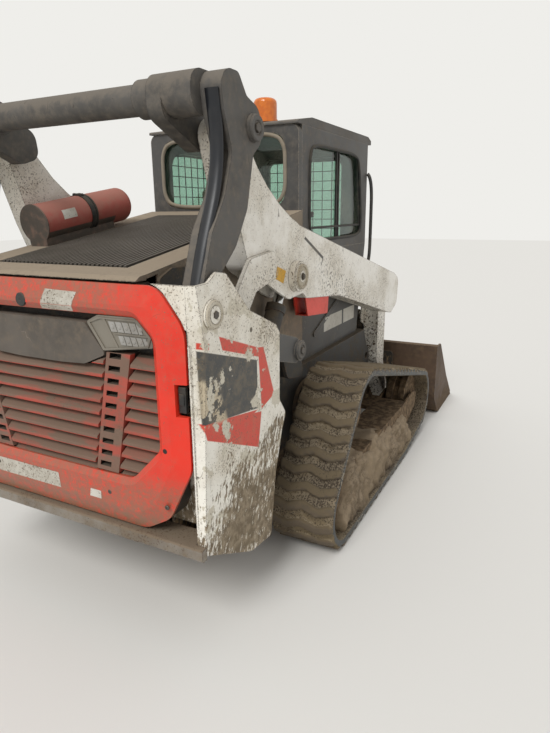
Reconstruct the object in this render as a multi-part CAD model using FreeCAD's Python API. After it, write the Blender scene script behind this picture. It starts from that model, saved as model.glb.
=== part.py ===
"""Compact track loader with vertical-lift arms, a closed cab, rubber tracks and a dirt bucket.

Millimetres. While it is being built, x runs forward from the rear bumper, y to the left of the
machine and z up from the ground. The pieces are saved with x = 0 at half the overall length.
"""
import FreeCAD
import Part
import math
import os

os.makedirs("parts", exist_ok=True)

# Clearances
SEAT_GAP = 0.3            # between pieces that rest on each other
PIN_CLEARANCE = 0.05      # radial, pin in its bore
SIDE_GAP = 5.0            # between moving pieces, sideways

# Widths, measured from the machine's middle plane to one side
INNER_PLATE_OUTER = 490.0
INNER_PLATE = 12.0
TRACK_WIDTH = 320.0
FRAME_TRACK_GAP = 65.0    # between the track and the tub's inner plate
LEG_TRACK_GAP = 15.0      # between the track and the arm's front leg
TRACK_OUTER = INNER_PLATE_OUTER + FRAME_TRACK_GAP + TRACK_WIDTH
TUB_HALF = INNER_PLATE_OUTER - INNER_PLATE
ARM_INNER = INNER_PLATE_OUTER + SIDE_GAP
ARM_WIDTH = 105.0
ARM_PLATE = 12.0
LINK_WIDTH = 80.0
LINK_INNER = ARM_INNER + ARM_WIDTH + SIDE_GAP
LINK_OUTER = LINK_INNER + LINK_WIDTH
LEG_WIDTH = 103.0
LEG_OUTER = TRACK_OUTER - TRACK_WIDTH - LEG_TRACK_GAP
LEG_INNER = LEG_OUTER - LEG_WIDTH
UPRIGHT_PLATE = 12.0
UPRIGHT_LINK_GAP = 8.0
UPRIGHT_OUTER = LINK_OUTER + UPRIGHT_LINK_GAP + UPRIGHT_PLATE
GATE_JAMB = 45.0          # from the upright's outer face to the tailgate's edge
TAILGATE_HALF = UPRIGHT_OUTER - GATE_JAMB
CAB_ARM_GAP = 40.0
CAB_HALF = ARM_INNER - CAB_ARM_GAP
CAB_WALL = 40.0
CONSOLE_WIDTH = 120.0
CONSOLE_WALL_GAP = 15.0
CONSOLE_SEAT_GAP = 40.0
CONSOLE_OUTER = CAB_HALF - CAB_WALL - CONSOLE_WALL_GAP
SEAT_HALF = CONSOLE_OUTER - CONSOLE_WIDTH - CONSOLE_SEAT_GAP

# Pivots in side view: x, z
LINK_FOOT = (113.0, 1279.0)
LINK_TOP = (438.0, 1866.0)
CONTROL_FRONT = (850.0, 995.0)
CONTROL_REAR = (330.0, 1140.0)
LIFT_BASE = (400.0, 450.0)
LIFT_EYE = (950.0, 1310.0)
BUCKET_PIVOT = (2790.0, 220.0)
TILT_BASE = (2440.0, 880.0)
LIFT_Y = ARM_INNER + ARM_WIDTH / 2 - 1      # middle plane of the lift cylinder
TILT_Y = LEG_INNER - 52                     # middle plane of the tilt cylinder
TILT_EYE_RADIUS = 90.0
TILT_EYE_ANGLE = 90.0
TILT_EYE = (BUCKET_PIVOT[0] + TILT_EYE_RADIUS * math.cos(math.radians(TILT_EYE_ANGLE)),
            BUCKET_PIVOT[1] + TILT_EYE_RADIUS * math.sin(math.radians(TILT_EYE_ANGLE)))
LINK_PIN_RADIUS = 25.0
TIE_DOWN = (2366.0, 600.0)    # hole in each front corner of the frame, above the track
TIE_DOWN_RADIUS = 25.0
ARM_PIN_RADIUS = 27.0
TILT_PIN_RADIUS = 20.0
TILT_EYE_WIDTH = 42.0
CROSS_TUBE = (2500.0, 575.0)
CROSS_TUBE_RADIUS = 56.0

# Tracks
BELT_THICKNESS = 28.0
LUG_HEIGHT = 22.0
LUG_LENGTH = 34.0
LUG_WAVE = 12.0
LUG_WAVES = 2
LUG_PITCH = 86.0
LOOP_STEP = 0.19         # turn between the belt's flats round a wheel, radians
TRACK_DEPTH = BELT_THICKNESS + LUG_HEIGHT
REAR_IDLER = (965.0, 205.0, 155.0)        # x, z, wheel radius
SPROCKET = (1300.0, 565.0, 205.0)
FRONT_IDLER = (2505.0, 285.0, 172.0)
ROLLER_RADIUS = 80.0
ROLLER_X = (1190.0, 1415.0, 1640.0, 1865.0, 2090.0)

# Cab
CAB_REAR = 1300.0
CAB_FRONT = 2360.0
CAB_FLOOR = 800.0
CAB_WAIST = 1385.0
DECK_TOP = CAB_FLOOR - SEAT_GAP
CAB_TOP = 2005.0
ROOF_TOP = 2050.0
ROOF_OVERHANG = 60.0
GLASS = 6.0

# Hood
HOOD_REAR = 60.0
HOOD_FRONT = CAB_REAR - SEAT_GAP
HOOD_HEIGHT = 1395.0
HOOD_SLOPE = 9.3
HOOD_PLATE = 14.0
HOOD_HALF = TUB_HALF - SEAT_GAP
SCREEN_SIDE = 137.7          # from the hood's edge to the screen
SCREEN_HALF = HOOD_HALF - SCREEN_SIDE
SCREEN_REAR = 150.0
SCREEN_FRONT = 1180.0
SCREEN_RIBS = 30

# Tailgate
GATE_REAR = 18.0
GATE_DEPTH = 92.0
GATE_BOTTOM = 495.0
GATE_TOP = 1372.0
GATE_EDGE = 18.0                            # thickness of the outer panel
GATE_EDGE_HALF = LINK_INNER - 17            # the inner frame ends short of the rear links' feet
GATE_NOTCH_HALF = INNER_PLATE_OUTER - 25    # and of their collars in its upper corners
GATE_NOTCH_BOTTOM = 1190.0
LAMP_DEPTH = 24.0
HINGE = (12.0, TAILGATE_HALF + 12.0)
HINGE_RADIUS = 10.0
HINGE_PIN = 6.0
HINGE_HEIGHTS = (640.0, 1150.0)

# Bucket
BUCKET_HALF = TRACK_OUTER + 10
BUCKET_BACK = BUCKET_PIVOT[0] + 102
BUCKET_DEPTH = 728.0
BUCKET_TIP = BUCKET_BACK + BUCKET_DEPTH
BUCKET_TOP = 590.0
BUCKET_PLATE = 9.0
BUCKET_HEEL_X = BUCKET_BACK + 163       # where the floor turns up
BUCKET_HEEL_Z = 178.0                   # where the slanted heel meets the back

OVERALL_LENGTH = BUCKET_TIP


def point(x, y, z):
    return FreeCAD.Vector(x, y, z)


def rounded_wire(corners, place):
    """Closed wire through corners (u, v, radius), where a radius makes a tangent arc."""
    starts = []
    ends = []
    middles = []
    count = len(corners)
    for i, (u, v, radius) in enumerate(corners):
        here = point(u, v, 0)
        before = point(corners[i - 1][0], corners[i - 1][1], 0) - here
        after = point(corners[(i + 1) % count][0], corners[(i + 1) % count][1], 0) - here
        if radius <= 0:
            starts.append(here)
            ends.append(here)
            middles.append(None)
            continue
        before.normalize()
        after.normalize()
        half = before.getAngle(after) / 2
        reach = radius / math.tan(half)
        inward = before + after
        inward.normalize()
        starts.append(here + before * reach)
        ends.append(here + after * reach)
        middles.append(here + inward * (radius / math.sin(half) - radius))
    edges = []
    for i in range(count):
        if middles[i]:
            edges.append(Part.Arc(place(starts[i].x, starts[i].y), place(middles[i].x, middles[i].y),
                                  place(ends[i].x, ends[i].y)).toShape())
        following = starts[(i + 1) % count]
        if ends[i].distanceToPoint(following) > 0.01:
            edges.append(Part.makeLine(place(ends[i].x, ends[i].y), place(following.x, following.y)))
    return Part.Wire(edges)


def side_plate(corners, y_from, y_to):
    """Outline of (x, z, radius) corners, extruded across the machine."""
    face = Part.Face(rounded_wire(corners, lambda u, v: point(u, y_from, v)))
    return face.extrude(point(0, y_to - y_from, 0))


def back_plate(corners, x_from, x_to):
    """Outline of (y, z, radius) corners, extruded along the machine."""
    face = Part.Face(rounded_wire(corners, lambda u, v: point(x_from, u, v)))
    return face.extrude(point(x_to - x_from, 0, 0))


def block(x_from, x_to, y_from, y_to, z_from, z_to):
    return Part.makeBox(x_to - x_from, y_to - y_from, z_to - z_from, point(x_from, y_from, z_from))


def rectangle(u_from, u_to, v_from, v_to, radius):
    return [(u_from, v_from, radius), (u_to, v_from, radius), (u_to, v_to, radius), (u_from, v_to, radius)]


def across(pivot, radius, y_from, y_to):
    """Round bar across the machine at a pivot (x, z)."""
    return Part.makeCylinder(radius, y_to - y_from, point(pivot[0], y_from, pivot[1]), point(0, 1, 0))


def bar(start, end, radius):
    along = end - start
    return Part.makeCylinder(radius, along.Length, start, along)


def fused(shapes):
    whole = shapes[0].multiFuse(shapes[1:])
    return whole.removeSplitter()


def mirrored(shape):
    return shape.mirror(point(0, 0, 0), point(0, 1, 0))


def save(name, shape):
    moved = shape.copy()
    moved.translate(point(-OVERALL_LENGTH / 2, 0, 0))
    moved.exportStep("parts/" + name + ".step")


def save_pair(name, right_shape):
    """The right-hand piece is modelled at negative y, and the left-hand one is its mirror image."""
    save(name + "_right", right_shape)
    save(name + "_left", mirrored(right_shape))


def toward(start, end, distance):
    """The (x, z) place at a distance from start on the way to end."""
    length = math.hypot(end[0] - start[0], end[1] - start[1])
    share = distance / length
    return (start[0] + (end[0] - start[0]) * share, start[1] + (end[1] - start[1]) * share)


def slope_z(x):
    """Height of the hood's upper face at x."""
    return HOOD_HEIGHT + (x - HOOD_REAR) * math.tan(math.radians(HOOD_SLOPE))


UPRIGHT_REAR = 26.0

# Where the upright's slanted rear flange meets its side plate: height, x
FLANGE_BENDS = ((450.0, UPRIGHT_REAR + 2), (510.0, UPRIGHT_REAR + 2), (1180.0, 68.0), (1378.0, 34.0))
FLANGE_PLATE = 7.0

# Side outline of the upright's outer plate: x, z, corner radius
UPRIGHT_OUTLINE = [
    (FLANGE_BENDS[0][1] + 6, 450, 0), (330, 292, 20), (495, 272, 20), (545, 545, 60), (606, 715, 25),
    (640, 776, 25),
    (584, 850, 30), (588, 1130, 30), (557, 1168, 20), (353, 1256, 60), (205, 1400, 25),
    (150, 1410, 25), (100, 1380, 30), (FLANGE_BENDS[3][1] + 6, 1378, 0), (FLANGE_BENDS[2][1] + 6, 1180, 0),
    (FLANGE_BENDS[1][1] + 6, 510, 0)]


def slanted_flange():
    """Rear-facing flange between the tailgate's edge and the side plate, drawn in plan at each bend."""
    edge = -(TAILGATE_HALF + SIDE_GAP + 3)
    sections = []
    for z, bend in FLANGE_BENDS:
        slant = FLANGE_PLATE * math.hypot(bend - UPRIGHT_REAR, UPRIGHT_OUTER + edge) / (UPRIGHT_OUTER + edge)
        plan = [point(UPRIGHT_REAR, edge, z), point(bend, -UPRIGHT_OUTER, z),
                point(bend + 8, -UPRIGHT_OUTER, z), point(bend + 8, -UPRIGHT_OUTER + UPRIGHT_PLATE, z),
                point(UPRIGHT_REAR + slant, edge, z)]
        sections.append(Part.makePolygon(plan + plan[:1]))
    return Part.makeLoft(sections, True, True)


def upright():
    outer = -UPRIGHT_OUTER
    inner = outer + UPRIGHT_PLATE
    plate = side_plate(UPRIGHT_OUTLINE, outer, inner)
    jamb = -(TAILGATE_HALF + SIDE_GAP + 3)
    side = block(UPRIGHT_REAR, 132, jamb - 8, jamb, 490, 1190)
    closing = block(120, 132, jamb, -INNER_PLATE_OUTER, 500, 1190)
    # the corner between the tailgate's rounded upper edge and the top of the flange
    gate = Part.Face(rounded_wire(GATE_OUTLINE, lambda u, v: point(UPRIGHT_REAR - 1, u, v)))
    corner = block(UPRIGHT_REAR, UPRIGHT_REAR + 7, jamb - 1, -TAILGATE_HALF + 130, 1240, 1378)
    corner = corner.cut(gate.makeOffset2D(SIDE_GAP + 3).extrude(point(10, 0, 0)))
    floor = side_plate([(132, 408, 0), (330, 306, 0), (490, 285, 0), (492, 297, 0), (334, 319, 0),
                        (132, 422, 0)], inner, -INNER_PLATE_OUTER)
    foot_boss = across(LINK_FOOT, 52, inner, -LINK_OUTER - SEAT_GAP)
    outer_ring = across(LINK_FOOT, 48, outer - 10, outer)
    pin_end = across(LINK_FOOT, 30, outer - 16, outer - 10)
    base_boss = across(LIFT_BASE, 45, inner, -(ARM_INNER + ARM_WIDTH - 2))
    return fused([plate, slanted_flange(), corner, side, closing, floor, foot_boss, outer_ring, pin_end,
                  base_boss])


# Side outline of the tall inner plate on each side of the tub
INNER_OUTLINE = [
    (132, 420, 0), (330, 300, 0), (2330, 250, 40), (2420, 330, 40),
    (TIE_DOWN[0] + 54, TIE_DOWN[1] + 20, 30), (TIE_DOWN[0] - 6, TIE_DOWN[1] + 90, 30), (2300, DECK_TOP, 10),
    (1150, DECK_TOP, 60), (900, 900, 80), (700, 1150, 120), (560, 1290, 80), (420, 1400, 60), (205, 1410, 25),
    (132, 1380, 20)]


def main_frame():
    pieces = []
    for side in (-1, 1):
        low, high = sorted((side * TUB_HALF, side * INNER_PLATE_OUTER))
        pieces.append(side_plate(INNER_OUTLINE, low, high))
    pieces.append(side_plate([(340, 305, 0), (2330, 256, 0), (2400, 325, 0), (2400, 337, 0), (2326, 268, 0),
                              (340, 317, 0)], -TUB_HALF, TUB_HALF))
    pieces.append(block(2398, 2410, -TUB_HALF, TUB_HALF, 330, 620))
    pieces.append(block(1240, CAB_FRONT - CAB_WALL - 2, -TUB_HALF, TUB_HALF, DECK_TOP - 12, DECK_TOP))
    pieces.append(block(1240, 1252, -TUB_HALF, TUB_HALF, 290, 780))
    whole = fused(pieces)
    for side in (-1, 1):
        whole = whole.cut(across(LINK_FOOT, LINK_PIN_RADIUS + PIN_CLEARANCE, *sorted(
            (side * (TUB_HALF - 1), side * (INNER_PLATE_OUTER + 1)))))
        whole = whole.cut(across(TIE_DOWN, TIE_DOWN_RADIUS, *sorted(
            (side * (TUB_HALF - 1), side * (INNER_PLATE_OUTER + 1)))))
    return whole


def pivot_set():
    """Foot pin of the rear link, control link pin and bracket, and cylinder base pin, right side."""
    foot = across(LINK_FOOT, LINK_PIN_RADIUS, -LINK_OUTER - SEAT_GAP, -TUB_HALF)
    collar = across(LINK_FOOT, 50, -(ARM_INNER + ARM_WIDTH + SIDE_GAP) + SEAT_GAP, -INNER_PLATE_OUTER)
    base = across(LIFT_BASE, LINK_PIN_RADIUS, -(ARM_INNER + ARM_WIDTH - 2) + SEAT_GAP,
                  -INNER_PLATE_OUTER - SEAT_GAP)
    return Part.makeCompound([fused([foot, collar]), base])


def control_bracket():
    """Dark bracket that stands out from the inner plate and carries the control link's front pin."""
    x, z = CONTROL_FRONT
    plate_inner = -(ARM_INNER + ARM_WIDTH)
    plate_outer = plate_inner - 16
    block_part = side_plate([(x + 22, 850, 0), (x + 150, 830, 20), (x + 150, 890, 30), (x + 62, 1040, 40),
                             (x + 22, 1050, 0)], plate_outer, -INNER_PLATE_OUTER)
    plate = side_plate([(x - 52, z - 40, 50), (x - 10, 860, 30), (x + 150, 830, 20), (x + 150, 890, 30),
                        (x + 62, 1040, 50), (x - 40, 1060, 50)], plate_outer, plate_inner)
    pin = across(CONTROL_FRONT, LINK_PIN_RADIUS, plate_outer - 60, plate_inner)
    return fused([block_part, plate, pin])


def track_wheels(extra):
    """Outer circles of the loop at a height above the wheels: x, z, radius."""
    wheels = []
    for x, z, radius in (REAR_IDLER, (ROLLER_X[0], TRACK_DEPTH + ROLLER_RADIUS, ROLLER_RADIUS),
                         (ROLLER_X[-1], TRACK_DEPTH + ROLLER_RADIUS, ROLLER_RADIUS), FRONT_IDLER, SPROCKET):
        wheels.append((x, z, radius + extra))
    return wheels


def loop_tangents(wheels):
    """Straight runs between neighbouring circles, counter-clockwise as seen with x to the right."""
    runs = []
    for i, (x1, z1, r1) in enumerate(wheels):
        x2, z2, r2 = wheels[(i + 1) % len(wheels)]
        dx = x2 - x1
        dz = z2 - z1
        length = math.hypot(dx, dz)
        turn = math.atan2(dz, dx) - math.pi / 2 - math.asin((r2 - r1) / length)
        nx = math.cos(turn)
        nz = math.sin(turn)
        runs.append(((x1 + r1 * nx, z1 + r1 * nz), (x2 + r2 * nx, z2 + r2 * nz), turn))
    return runs


def wheel_sweep(runs, i):
    """Angle that the loop turns round the wheel after run i; a wheel in line with its neighbours has none."""
    sweep = (runs[(i + 1) % len(runs)][2] - runs[i][2]) % (2 * math.pi)
    return 0.0 if sweep > math.pi * 1.5 or sweep < 0.001 else sweep


def loop_face(extra, y):
    """The loop as flats that touch the wheels' circles, so that the belt bends between its cores."""
    wheels = track_wheels(extra)
    runs = loop_tangents(wheels)
    corners = []
    for i, run in enumerate(runs):
        x, z, radius = wheels[(i + 1) % len(wheels)]
        sweep = wheel_sweep(runs, i)
        flats = math.ceil(sweep / LOOP_STEP)
        for k in range(flats):
            step = sweep / flats
            angle = run[2] + step * (k + 0.5)
            reach = radius / math.cos(step / 2)
            corners.append(point(x + reach * math.cos(angle), y, z + reach * math.sin(angle)))
    return Part.Face(Part.makePolygon(corners + corners[:1]))


def loop_stations(extra, pitch):
    """Places along the loop at an even pitch: x, z and the outward angle."""
    wheels = track_wheels(extra)
    runs = loop_tangents(wheels)
    pieces = []
    for i, (start, end, turn) in enumerate(runs):
        pieces.append(("run", start, end, turn, math.hypot(end[0] - start[0], end[1] - start[1])))
        wheel = wheels[(i + 1) % len(wheels)]
        sweep = wheel_sweep(runs, i)
        pieces.append(("arc", wheel, sweep, turn, wheel[2] * sweep))
    total = sum(piece[4] for piece in pieces)
    count = round(total / pitch)
    stations = []
    for k in range(count):
        rest = total * k / count
        for kind, first, second, turn, length in pieces:
            if rest > length:
                rest -= length
                continue
            if kind == "run":
                share = rest / length
                stations.append((first[0] + (second[0] - first[0]) * share,
                                 first[1] + (second[1] - first[1]) * share, turn))
            else:
                angle = turn + rest / first[2]
                stations.append((first[0] + first[2] * math.cos(angle), first[1] + first[2] * math.sin(angle),
                                 angle))
            break
    return stations


def lug(x, z, angle):
    """One wavy bar across the tread, standing out along the angle."""
    low = -TRACK_OUTER + 6
    step = (TRACK_WIDTH - 12) / (2 * LUG_WAVES)
    front = []
    back = []
    for k in range(2 * LUG_WAVES + 1):
        shift = LUG_WAVE if k % 2 else -LUG_WAVE
        front.append((shift + LUG_LENGTH / 2, low + k * step))
        back.append((shift - LUG_LENGTH / 2, low + k * step))
    corners = front + back[::-1]
    sunk = 4.0
    nx = math.cos(angle)
    nz = math.sin(angle)
    base = [point(x - nx * sunk - nz * s, y, z - nz * sunk + nx * s) for s, y in corners]
    face = Part.Face(Part.makePolygon(base + base[:1]))
    return face.extrude(point(nx * (LUG_HEIGHT + sunk), 0, nz * (LUG_HEIGHT + sunk)))


def track():
    outer = loop_face(BELT_THICKNESS, -TRACK_OUTER)
    inner = loop_face(SEAT_GAP, -TRACK_OUTER)
    belt = outer.cut(inner).extrude(point(0, TRACK_WIDTH, 0))
    lugs = [lug(*station) for station in loop_stations(BELT_THICKNESS, LUG_PITCH)]
    return belt.multiFuse(lugs)


def wheel_solid(x, z, radius, half_width, axle_radius, axle_half):
    """Roller or idler with a groove round its middle and its axle's ends."""
    middle = -TRACK_OUTER + TRACK_WIDTH / 2
    rim = radius - 14
    profile = [(0, -axle_half), (axle_radius, -axle_half), (axle_radius, -half_width), (radius, -half_width),
               (radius, -half_width * 0.35), (rim, -half_width * 0.25), (rim, half_width * 0.25),
               (radius, half_width * 0.35), (radius, half_width), (axle_radius, half_width),
               (axle_radius, axle_half), (0, axle_half)]
    corners = [point(x + r, middle + y, z) for r, y in profile]
    face = Part.Face(Part.makePolygon(corners + corners[:1]))
    return face.revolve(point(x, middle, z), point(0, 1, 0), 360)


FRAME_HALF = 88.0
FRAME_PLATE = 12.0


def idlers():
    return Part.makeCompound([wheel_solid(x, z, radius, 62, 22, FRAME_HALF)
                              for x, z, radius in (REAR_IDLER, FRONT_IDLER)])


def rollers():
    return Part.makeCompound([wheel_solid(x, TRACK_DEPTH + ROLLER_RADIUS, ROLLER_RADIUS, 70, 20, FRAME_HALF)
                              for x in ROLLER_X])


def track_frame():
    middle = -TRACK_OUTER + TRACK_WIDTH / 2
    outline = [(900, 150, 50), (1010, 105, 10), (2150, 105, 30), (2540, 225, 40), (2560, 330, 40),
               (2440, 350, 40), (2250, 330, 20), (1150, 330, 60), (905, 265, 50)]
    pieces = []
    for side in (-1, 1):
        low, high = sorted((middle + side * FRAME_HALF, middle + side * (FRAME_HALF + FRAME_PLATE)))
        pieces.append(side_plate(outline, low, high))
    pieces.append(block(1200, 2280, middle - FRAME_HALF, middle + FRAME_HALF, 225, 330))
    for x in (1560.0, 2090.0):
        pieces.append(block(x, x + 130, middle + FRAME_HALF + FRAME_PLATE, -INNER_PLATE_OUTER, 300, 330))
    return fused(pieces)


def final_drive():
    inner = -INNER_PLATE_OUTER
    middle = -TRACK_OUTER + TRACK_WIDTH / 2
    flange = across(SPROCKET[:2], 150, inner - 20, inner)
    motor = across(SPROCKET[:2], 110, middle + 22, inner)
    return fused([flange, motor])


def sprocket():
    middle = -TRACK_OUTER + TRACK_WIDTH / 2
    teeth = 15
    tip = SPROCKET[2] - 2
    root = tip - 26
    corners = []
    for k in range(teeth):
        for share, radius in ((0.0, tip), (0.22, tip), (0.42, root), (0.80, root)):
            angle = 2 * math.pi * (k + share) / teeth
            corners.append((SPROCKET[0] + radius * math.cos(angle),
                            SPROCKET[1] + radius * math.sin(angle), 0))
    ring = side_plate(corners, middle - 20, middle + 22)
    hub = across(SPROCKET[:2], 95, middle - 70, middle - 20)
    dish = across(SPROCKET[:2], 138, middle - 21, middle - 8)
    return fused([ring, hub]).cut(dish.cut(across(SPROCKET[:2], 95, middle - 30, middle)))


def rear_bumper():
    outline = [(0, 440, 8), (0, 486, 8), (112, 486, 0), (112, 424, 0), (330, 300, 0), (330, 286, 0),
               (104, 410, 20)]
    reach = UPRIGHT_OUTER - UPRIGHT_PLATE - SEAT_GAP
    seat = UPRIGHT_REAR - SEAT_GAP
    lip = side_plate([(0, 440, 8), (0, 486, 8), (seat, 486, 0), (seat, 440, 0)],
                     -UPRIGHT_OUTER, UPRIGHT_OUTER)
    body = side_plate(outline, -TUB_HALF + 60, TUB_HALF - 60)
    shelf = side_plate([(17, 441, 0), (17, 486, 0), (110, 486, 0), (110, 474, 0), (30, 474, 0), (30, 441, 0)],
                       -reach + 30, reach - 30)
    return fused([lip, body, shelf])


def tub_floor_z(x):
    """Height of the tub floor's upper face at x."""
    return 317 - (x - 340) * (317.0 - 268.0) / (2326.0 - 340.0)


def engine_block():
    """The engine with its feet on the tub's floor."""
    pieces = [block(260, 900, -300, 300, 440, 1080)]
    for x in (420.0, 780.0):
        for side in (-1, 1):
            low, high = sorted((side * 180, side * 260))
            pieces.append(block(x, x + 60, low, high, tub_floor_z(x) + SEAT_GAP, 441))
    return fused(pieces)


def cooler():
    """Radiator and oil cooler pack under the screen."""
    lower = slope_z(SCREEN_REAR) - 190
    rail = HOOD_HALF - 10 - SEAT_GAP
    reach = SCREEN_HALF - 10
    pieces = [block(200, 860, -reach, reach, lower, lower + 110)]
    for x in (280.0, 740.0):
        pieces.append(block(x, x + 40, -rail, rail, lower, lower + 30))
    return fused(pieces)


# Corners of the arm's straight underside, above the stored support: x, z
UNDERSIDE_REAR = (1080.0, 1192.0)
UNDERSIDE_FRONT = (1514.0, 1148.0)


def arm_outline():
    x, z = LINK_TOP
    return [(x - 62, z - 8, 55), (x - 10, z + 66, 58), (x + 72, z + 10, 60), (620, 1752, 0), (700, 1686, 0),
            (800, 1622, 0), (910, 1568, 0), (1010, 1530, 120), (2620, 1160, 120), (2725, 1108, 60),
            (2700, 935, 60), (2560, 885, 30), (2490, 900, 60), (*UNDERSIDE_FRONT, 60), (*UNDERSIDE_REAR, 30),
            (1040, 1222, 40), (890, 1212, 50), (823, 1239, 40), (543, 1372, 60), (471, 1554, 60)]


def lift_arm():
    """Box-section arm with its rear bracket, cylinder slot and the leg that comes down inside the track."""
    outer = -(ARM_INNER + ARM_WIDTH)
    inner = -ARM_INNER
    body = side_plate(arm_outline(), outer, inner)
    hollow = side_plate([(640, 1640, 0), (1040, 1490, 0), (2600, 1130, 0), (2640, 1080, 0), (2560, 930, 0),
                         (1514, 1180, 0), (860, 1275, 0), (600, 1400, 0)],
                        outer + ARM_PLATE, inner - ARM_PLATE)
    slot = side_plate([(620, 1150, 0), (1100, 1150, 0), (1060, 1400, 0), (620, 1430, 0)],
                      outer + ARM_PLATE, inner - ARM_PLATE)
    body = body.cut(hollow).cut(slot)
    boss = across(LIFT_EYE, 68, outer - 30, outer).fuse(across(LIFT_EYE, 58, outer - 38, outer - 30))
    boss = boss.cut(across(LIFT_EYE, 44, outer - 39, outer - 32))
    pin = across(LIFT_EYE, ARM_PIN_RADIUS, outer - 40, outer + ARM_PLATE)
    bracket = side_plate([(CONTROL_REAR[0] - 62, CONTROL_REAR[1] - 20, 60),
                          (CONTROL_REAR[0] + 40, CONTROL_REAR[1] - 70, 50), (560, 1290, 40), (760, 1330, 30),
                          (720, 1440, 30), (520, 1420, 60), (CONTROL_REAR[0] + 20, CONTROL_REAR[1] + 90, 60)],
                         outer - 18, outer)
    leg_low = -(LEG_INNER + LEG_WIDTH)
    leg = side_plate([(2452, 905, 20), (2452, 560, 80), (2590, 330, 80), (2725, 190, 45),
                      (BUCKET_PIVOT[0] + 20, BUCKET_PIVOT[1] - 62, 50), (BUCKET_PIVOT[0] + 66, 262, 50),
                      (2720, 330, 60), (2625, 500, 120), (2625, 1100, 40), (2470, 1100, 40)],
                     leg_low, -LEG_INNER)
    whole = fused([body, boss, pin, bracket, leg])
    bore = across(LINK_TOP, ARM_PIN_RADIUS + PIN_CLEARANCE, outer - 1, inner + 1)
    foot_bore = across(BUCKET_PIVOT, ARM_PIN_RADIUS + PIN_CLEARANCE, leg_low - 1, -LEG_INNER + 1)
    return whole.cut(bore).cut(foot_bore)


SUPPORT_REAR = 1110.0
SUPPORT_LENGTH = 400.0
SUPPORT_DEPTH = 92.0


def arm_support():
    """Channel that props the raised arm for service, stored under the right arm."""
    (rear_x, rear_z), (front_x, front_z) = UNDERSIDE_REAR, UNDERSIDE_FRONT
    slope = (rear_z - front_z) / (front_x - rear_x)
    inner = -ARM_INNER - 18
    outer = inner - 68

    def beneath(x, drop):
        return (x, rear_z - SEAT_GAP - (x - rear_x) * slope - drop, 0)

    rear, front = SUPPORT_REAR, SUPPORT_REAR + SUPPORT_LENGTH - 100
    body = side_plate([beneath(rear, 0), beneath(front, 0), beneath(front - 12, SUPPORT_DEPTH),
                       beneath(rear + 30, SUPPORT_DEPTH)], outer, inner)
    hollow = side_plate([beneath(rear - 40, -1), beneath(front + 40, -1),
                         beneath(front + 40, SUPPORT_DEPTH - 6), beneath(rear - 40, SUPPORT_DEPTH - 6)],
                        outer + 6, inner - 6)
    return body.cut(hollow)


def arm_cross_tube():
    """Torsion tube between the legs."""
    tube = across(CROSS_TUBE, CROSS_TUBE_RADIUS, -LEG_INNER, LEG_INNER)
    return tube.cut(across(CROSS_TUBE, CROSS_TUBE_RADIUS - 10, -LEG_INNER + 12, LEG_INNER - 12))


def tilt_lugs():
    """Base bracket of the tilt cylinder, on the leg's inner face."""
    plate = side_plate([(2470, 800, 20), (2560, 800, 20), (2560, 960, 20), (2400, 960, 40), (2380, 840, 40)],
                       -LEG_INNER, -LEG_INNER + 8)
    pin = across(TILT_BASE, TILT_PIN_RADIUS, -LEG_INNER + 7, -TILT_Y + TILT_EYE_WIDTH / 2 + 8)
    return fused([plate, pin])


LINK_FOOT_RADIUS = 50.0
LINK_OUTLINE = [
    (LINK_FOOT[0] - 46, LINK_FOOT[1], 0), (LINK_FOOT[0] + 46, LINK_FOOT[1], 0),
    (LINK_FOOT[0] + 85, LINK_FOOT[1] + 110, 40), (306, 1478, 80), (388, 1600, 80), (436, 1780, 40),
    (LINK_TOP[0] + 62, LINK_TOP[1] - 40, 50), (LINK_TOP[0] + 50, LINK_TOP[1] + 66, 56), (400, 1960, 30),
    (350, 2024, 30), (235, 2024, 60), (255, 1900, 60), (300, 1780, 60), (245, 1640, 80), (165, 1530, 60)]


def rear_link():
    """Long dark link: outer body, inner bracket, the head that joins them and the pin through the arm."""
    outer = -LINK_OUTER
    inner = outer + LINK_WIDTH
    body = side_plate(LINK_OUTLINE, outer, inner)
    channel = side_plate([(60, 1330, 0), (190, 1560, 0), (272, 1660, 0), (325, 1790, 0), (285, 1900, 0),
                          (240, 1960, 0), (120, 1900, 0), (100, 1560, 0)], outer + 14, outer + 52)
    body = body.cut(channel)
    bracket_high = -ARM_INNER + SIDE_GAP
    bracket = side_plate([(LINK_TOP[0] - 30, LINK_TOP[1] - 70, 40), (LINK_TOP[0] + 62, LINK_TOP[1] - 40, 50),
                          (LINK_TOP[0] + 50, LINK_TOP[1] + 66, 56), (400, 1960, 30), (350, 2024, 30),
                          (195, 2024, 60), (195, 1890, 60)], bracket_high, bracket_high + 60)
    head = side_plate([(195, 2024, 60), (350, 2024, 30), (372, 1985, 0), (300, 1950, 0), (280, 1890, 0),
                       (195, 1890, 60)], inner, bracket_high)
    pin = across(LINK_TOP, ARM_PIN_RADIUS, inner, bracket_high)
    boss = across(LINK_TOP, 46, outer - 14, outer)
    foot = across(LINK_FOOT, LINK_FOOT_RADIUS, outer, inner)
    whole = fused([body, foot, bracket, head, pin, boss])
    return whole.cut(across(LINK_FOOT, LINK_PIN_RADIUS + PIN_CLEARANCE, outer - 1, inner + 1))


def link_cross_tube():
    reach = ARM_INNER - SIDE_GAP - 60
    centre = (268.0, 1956.0)
    tube = across(centre, 50, -reach, reach)
    collars = [across(centre, 62, *sorted((side * reach, side * (reach - 70)))) for side in (-1, 1)]
    return fused([tube] + collars)


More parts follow.
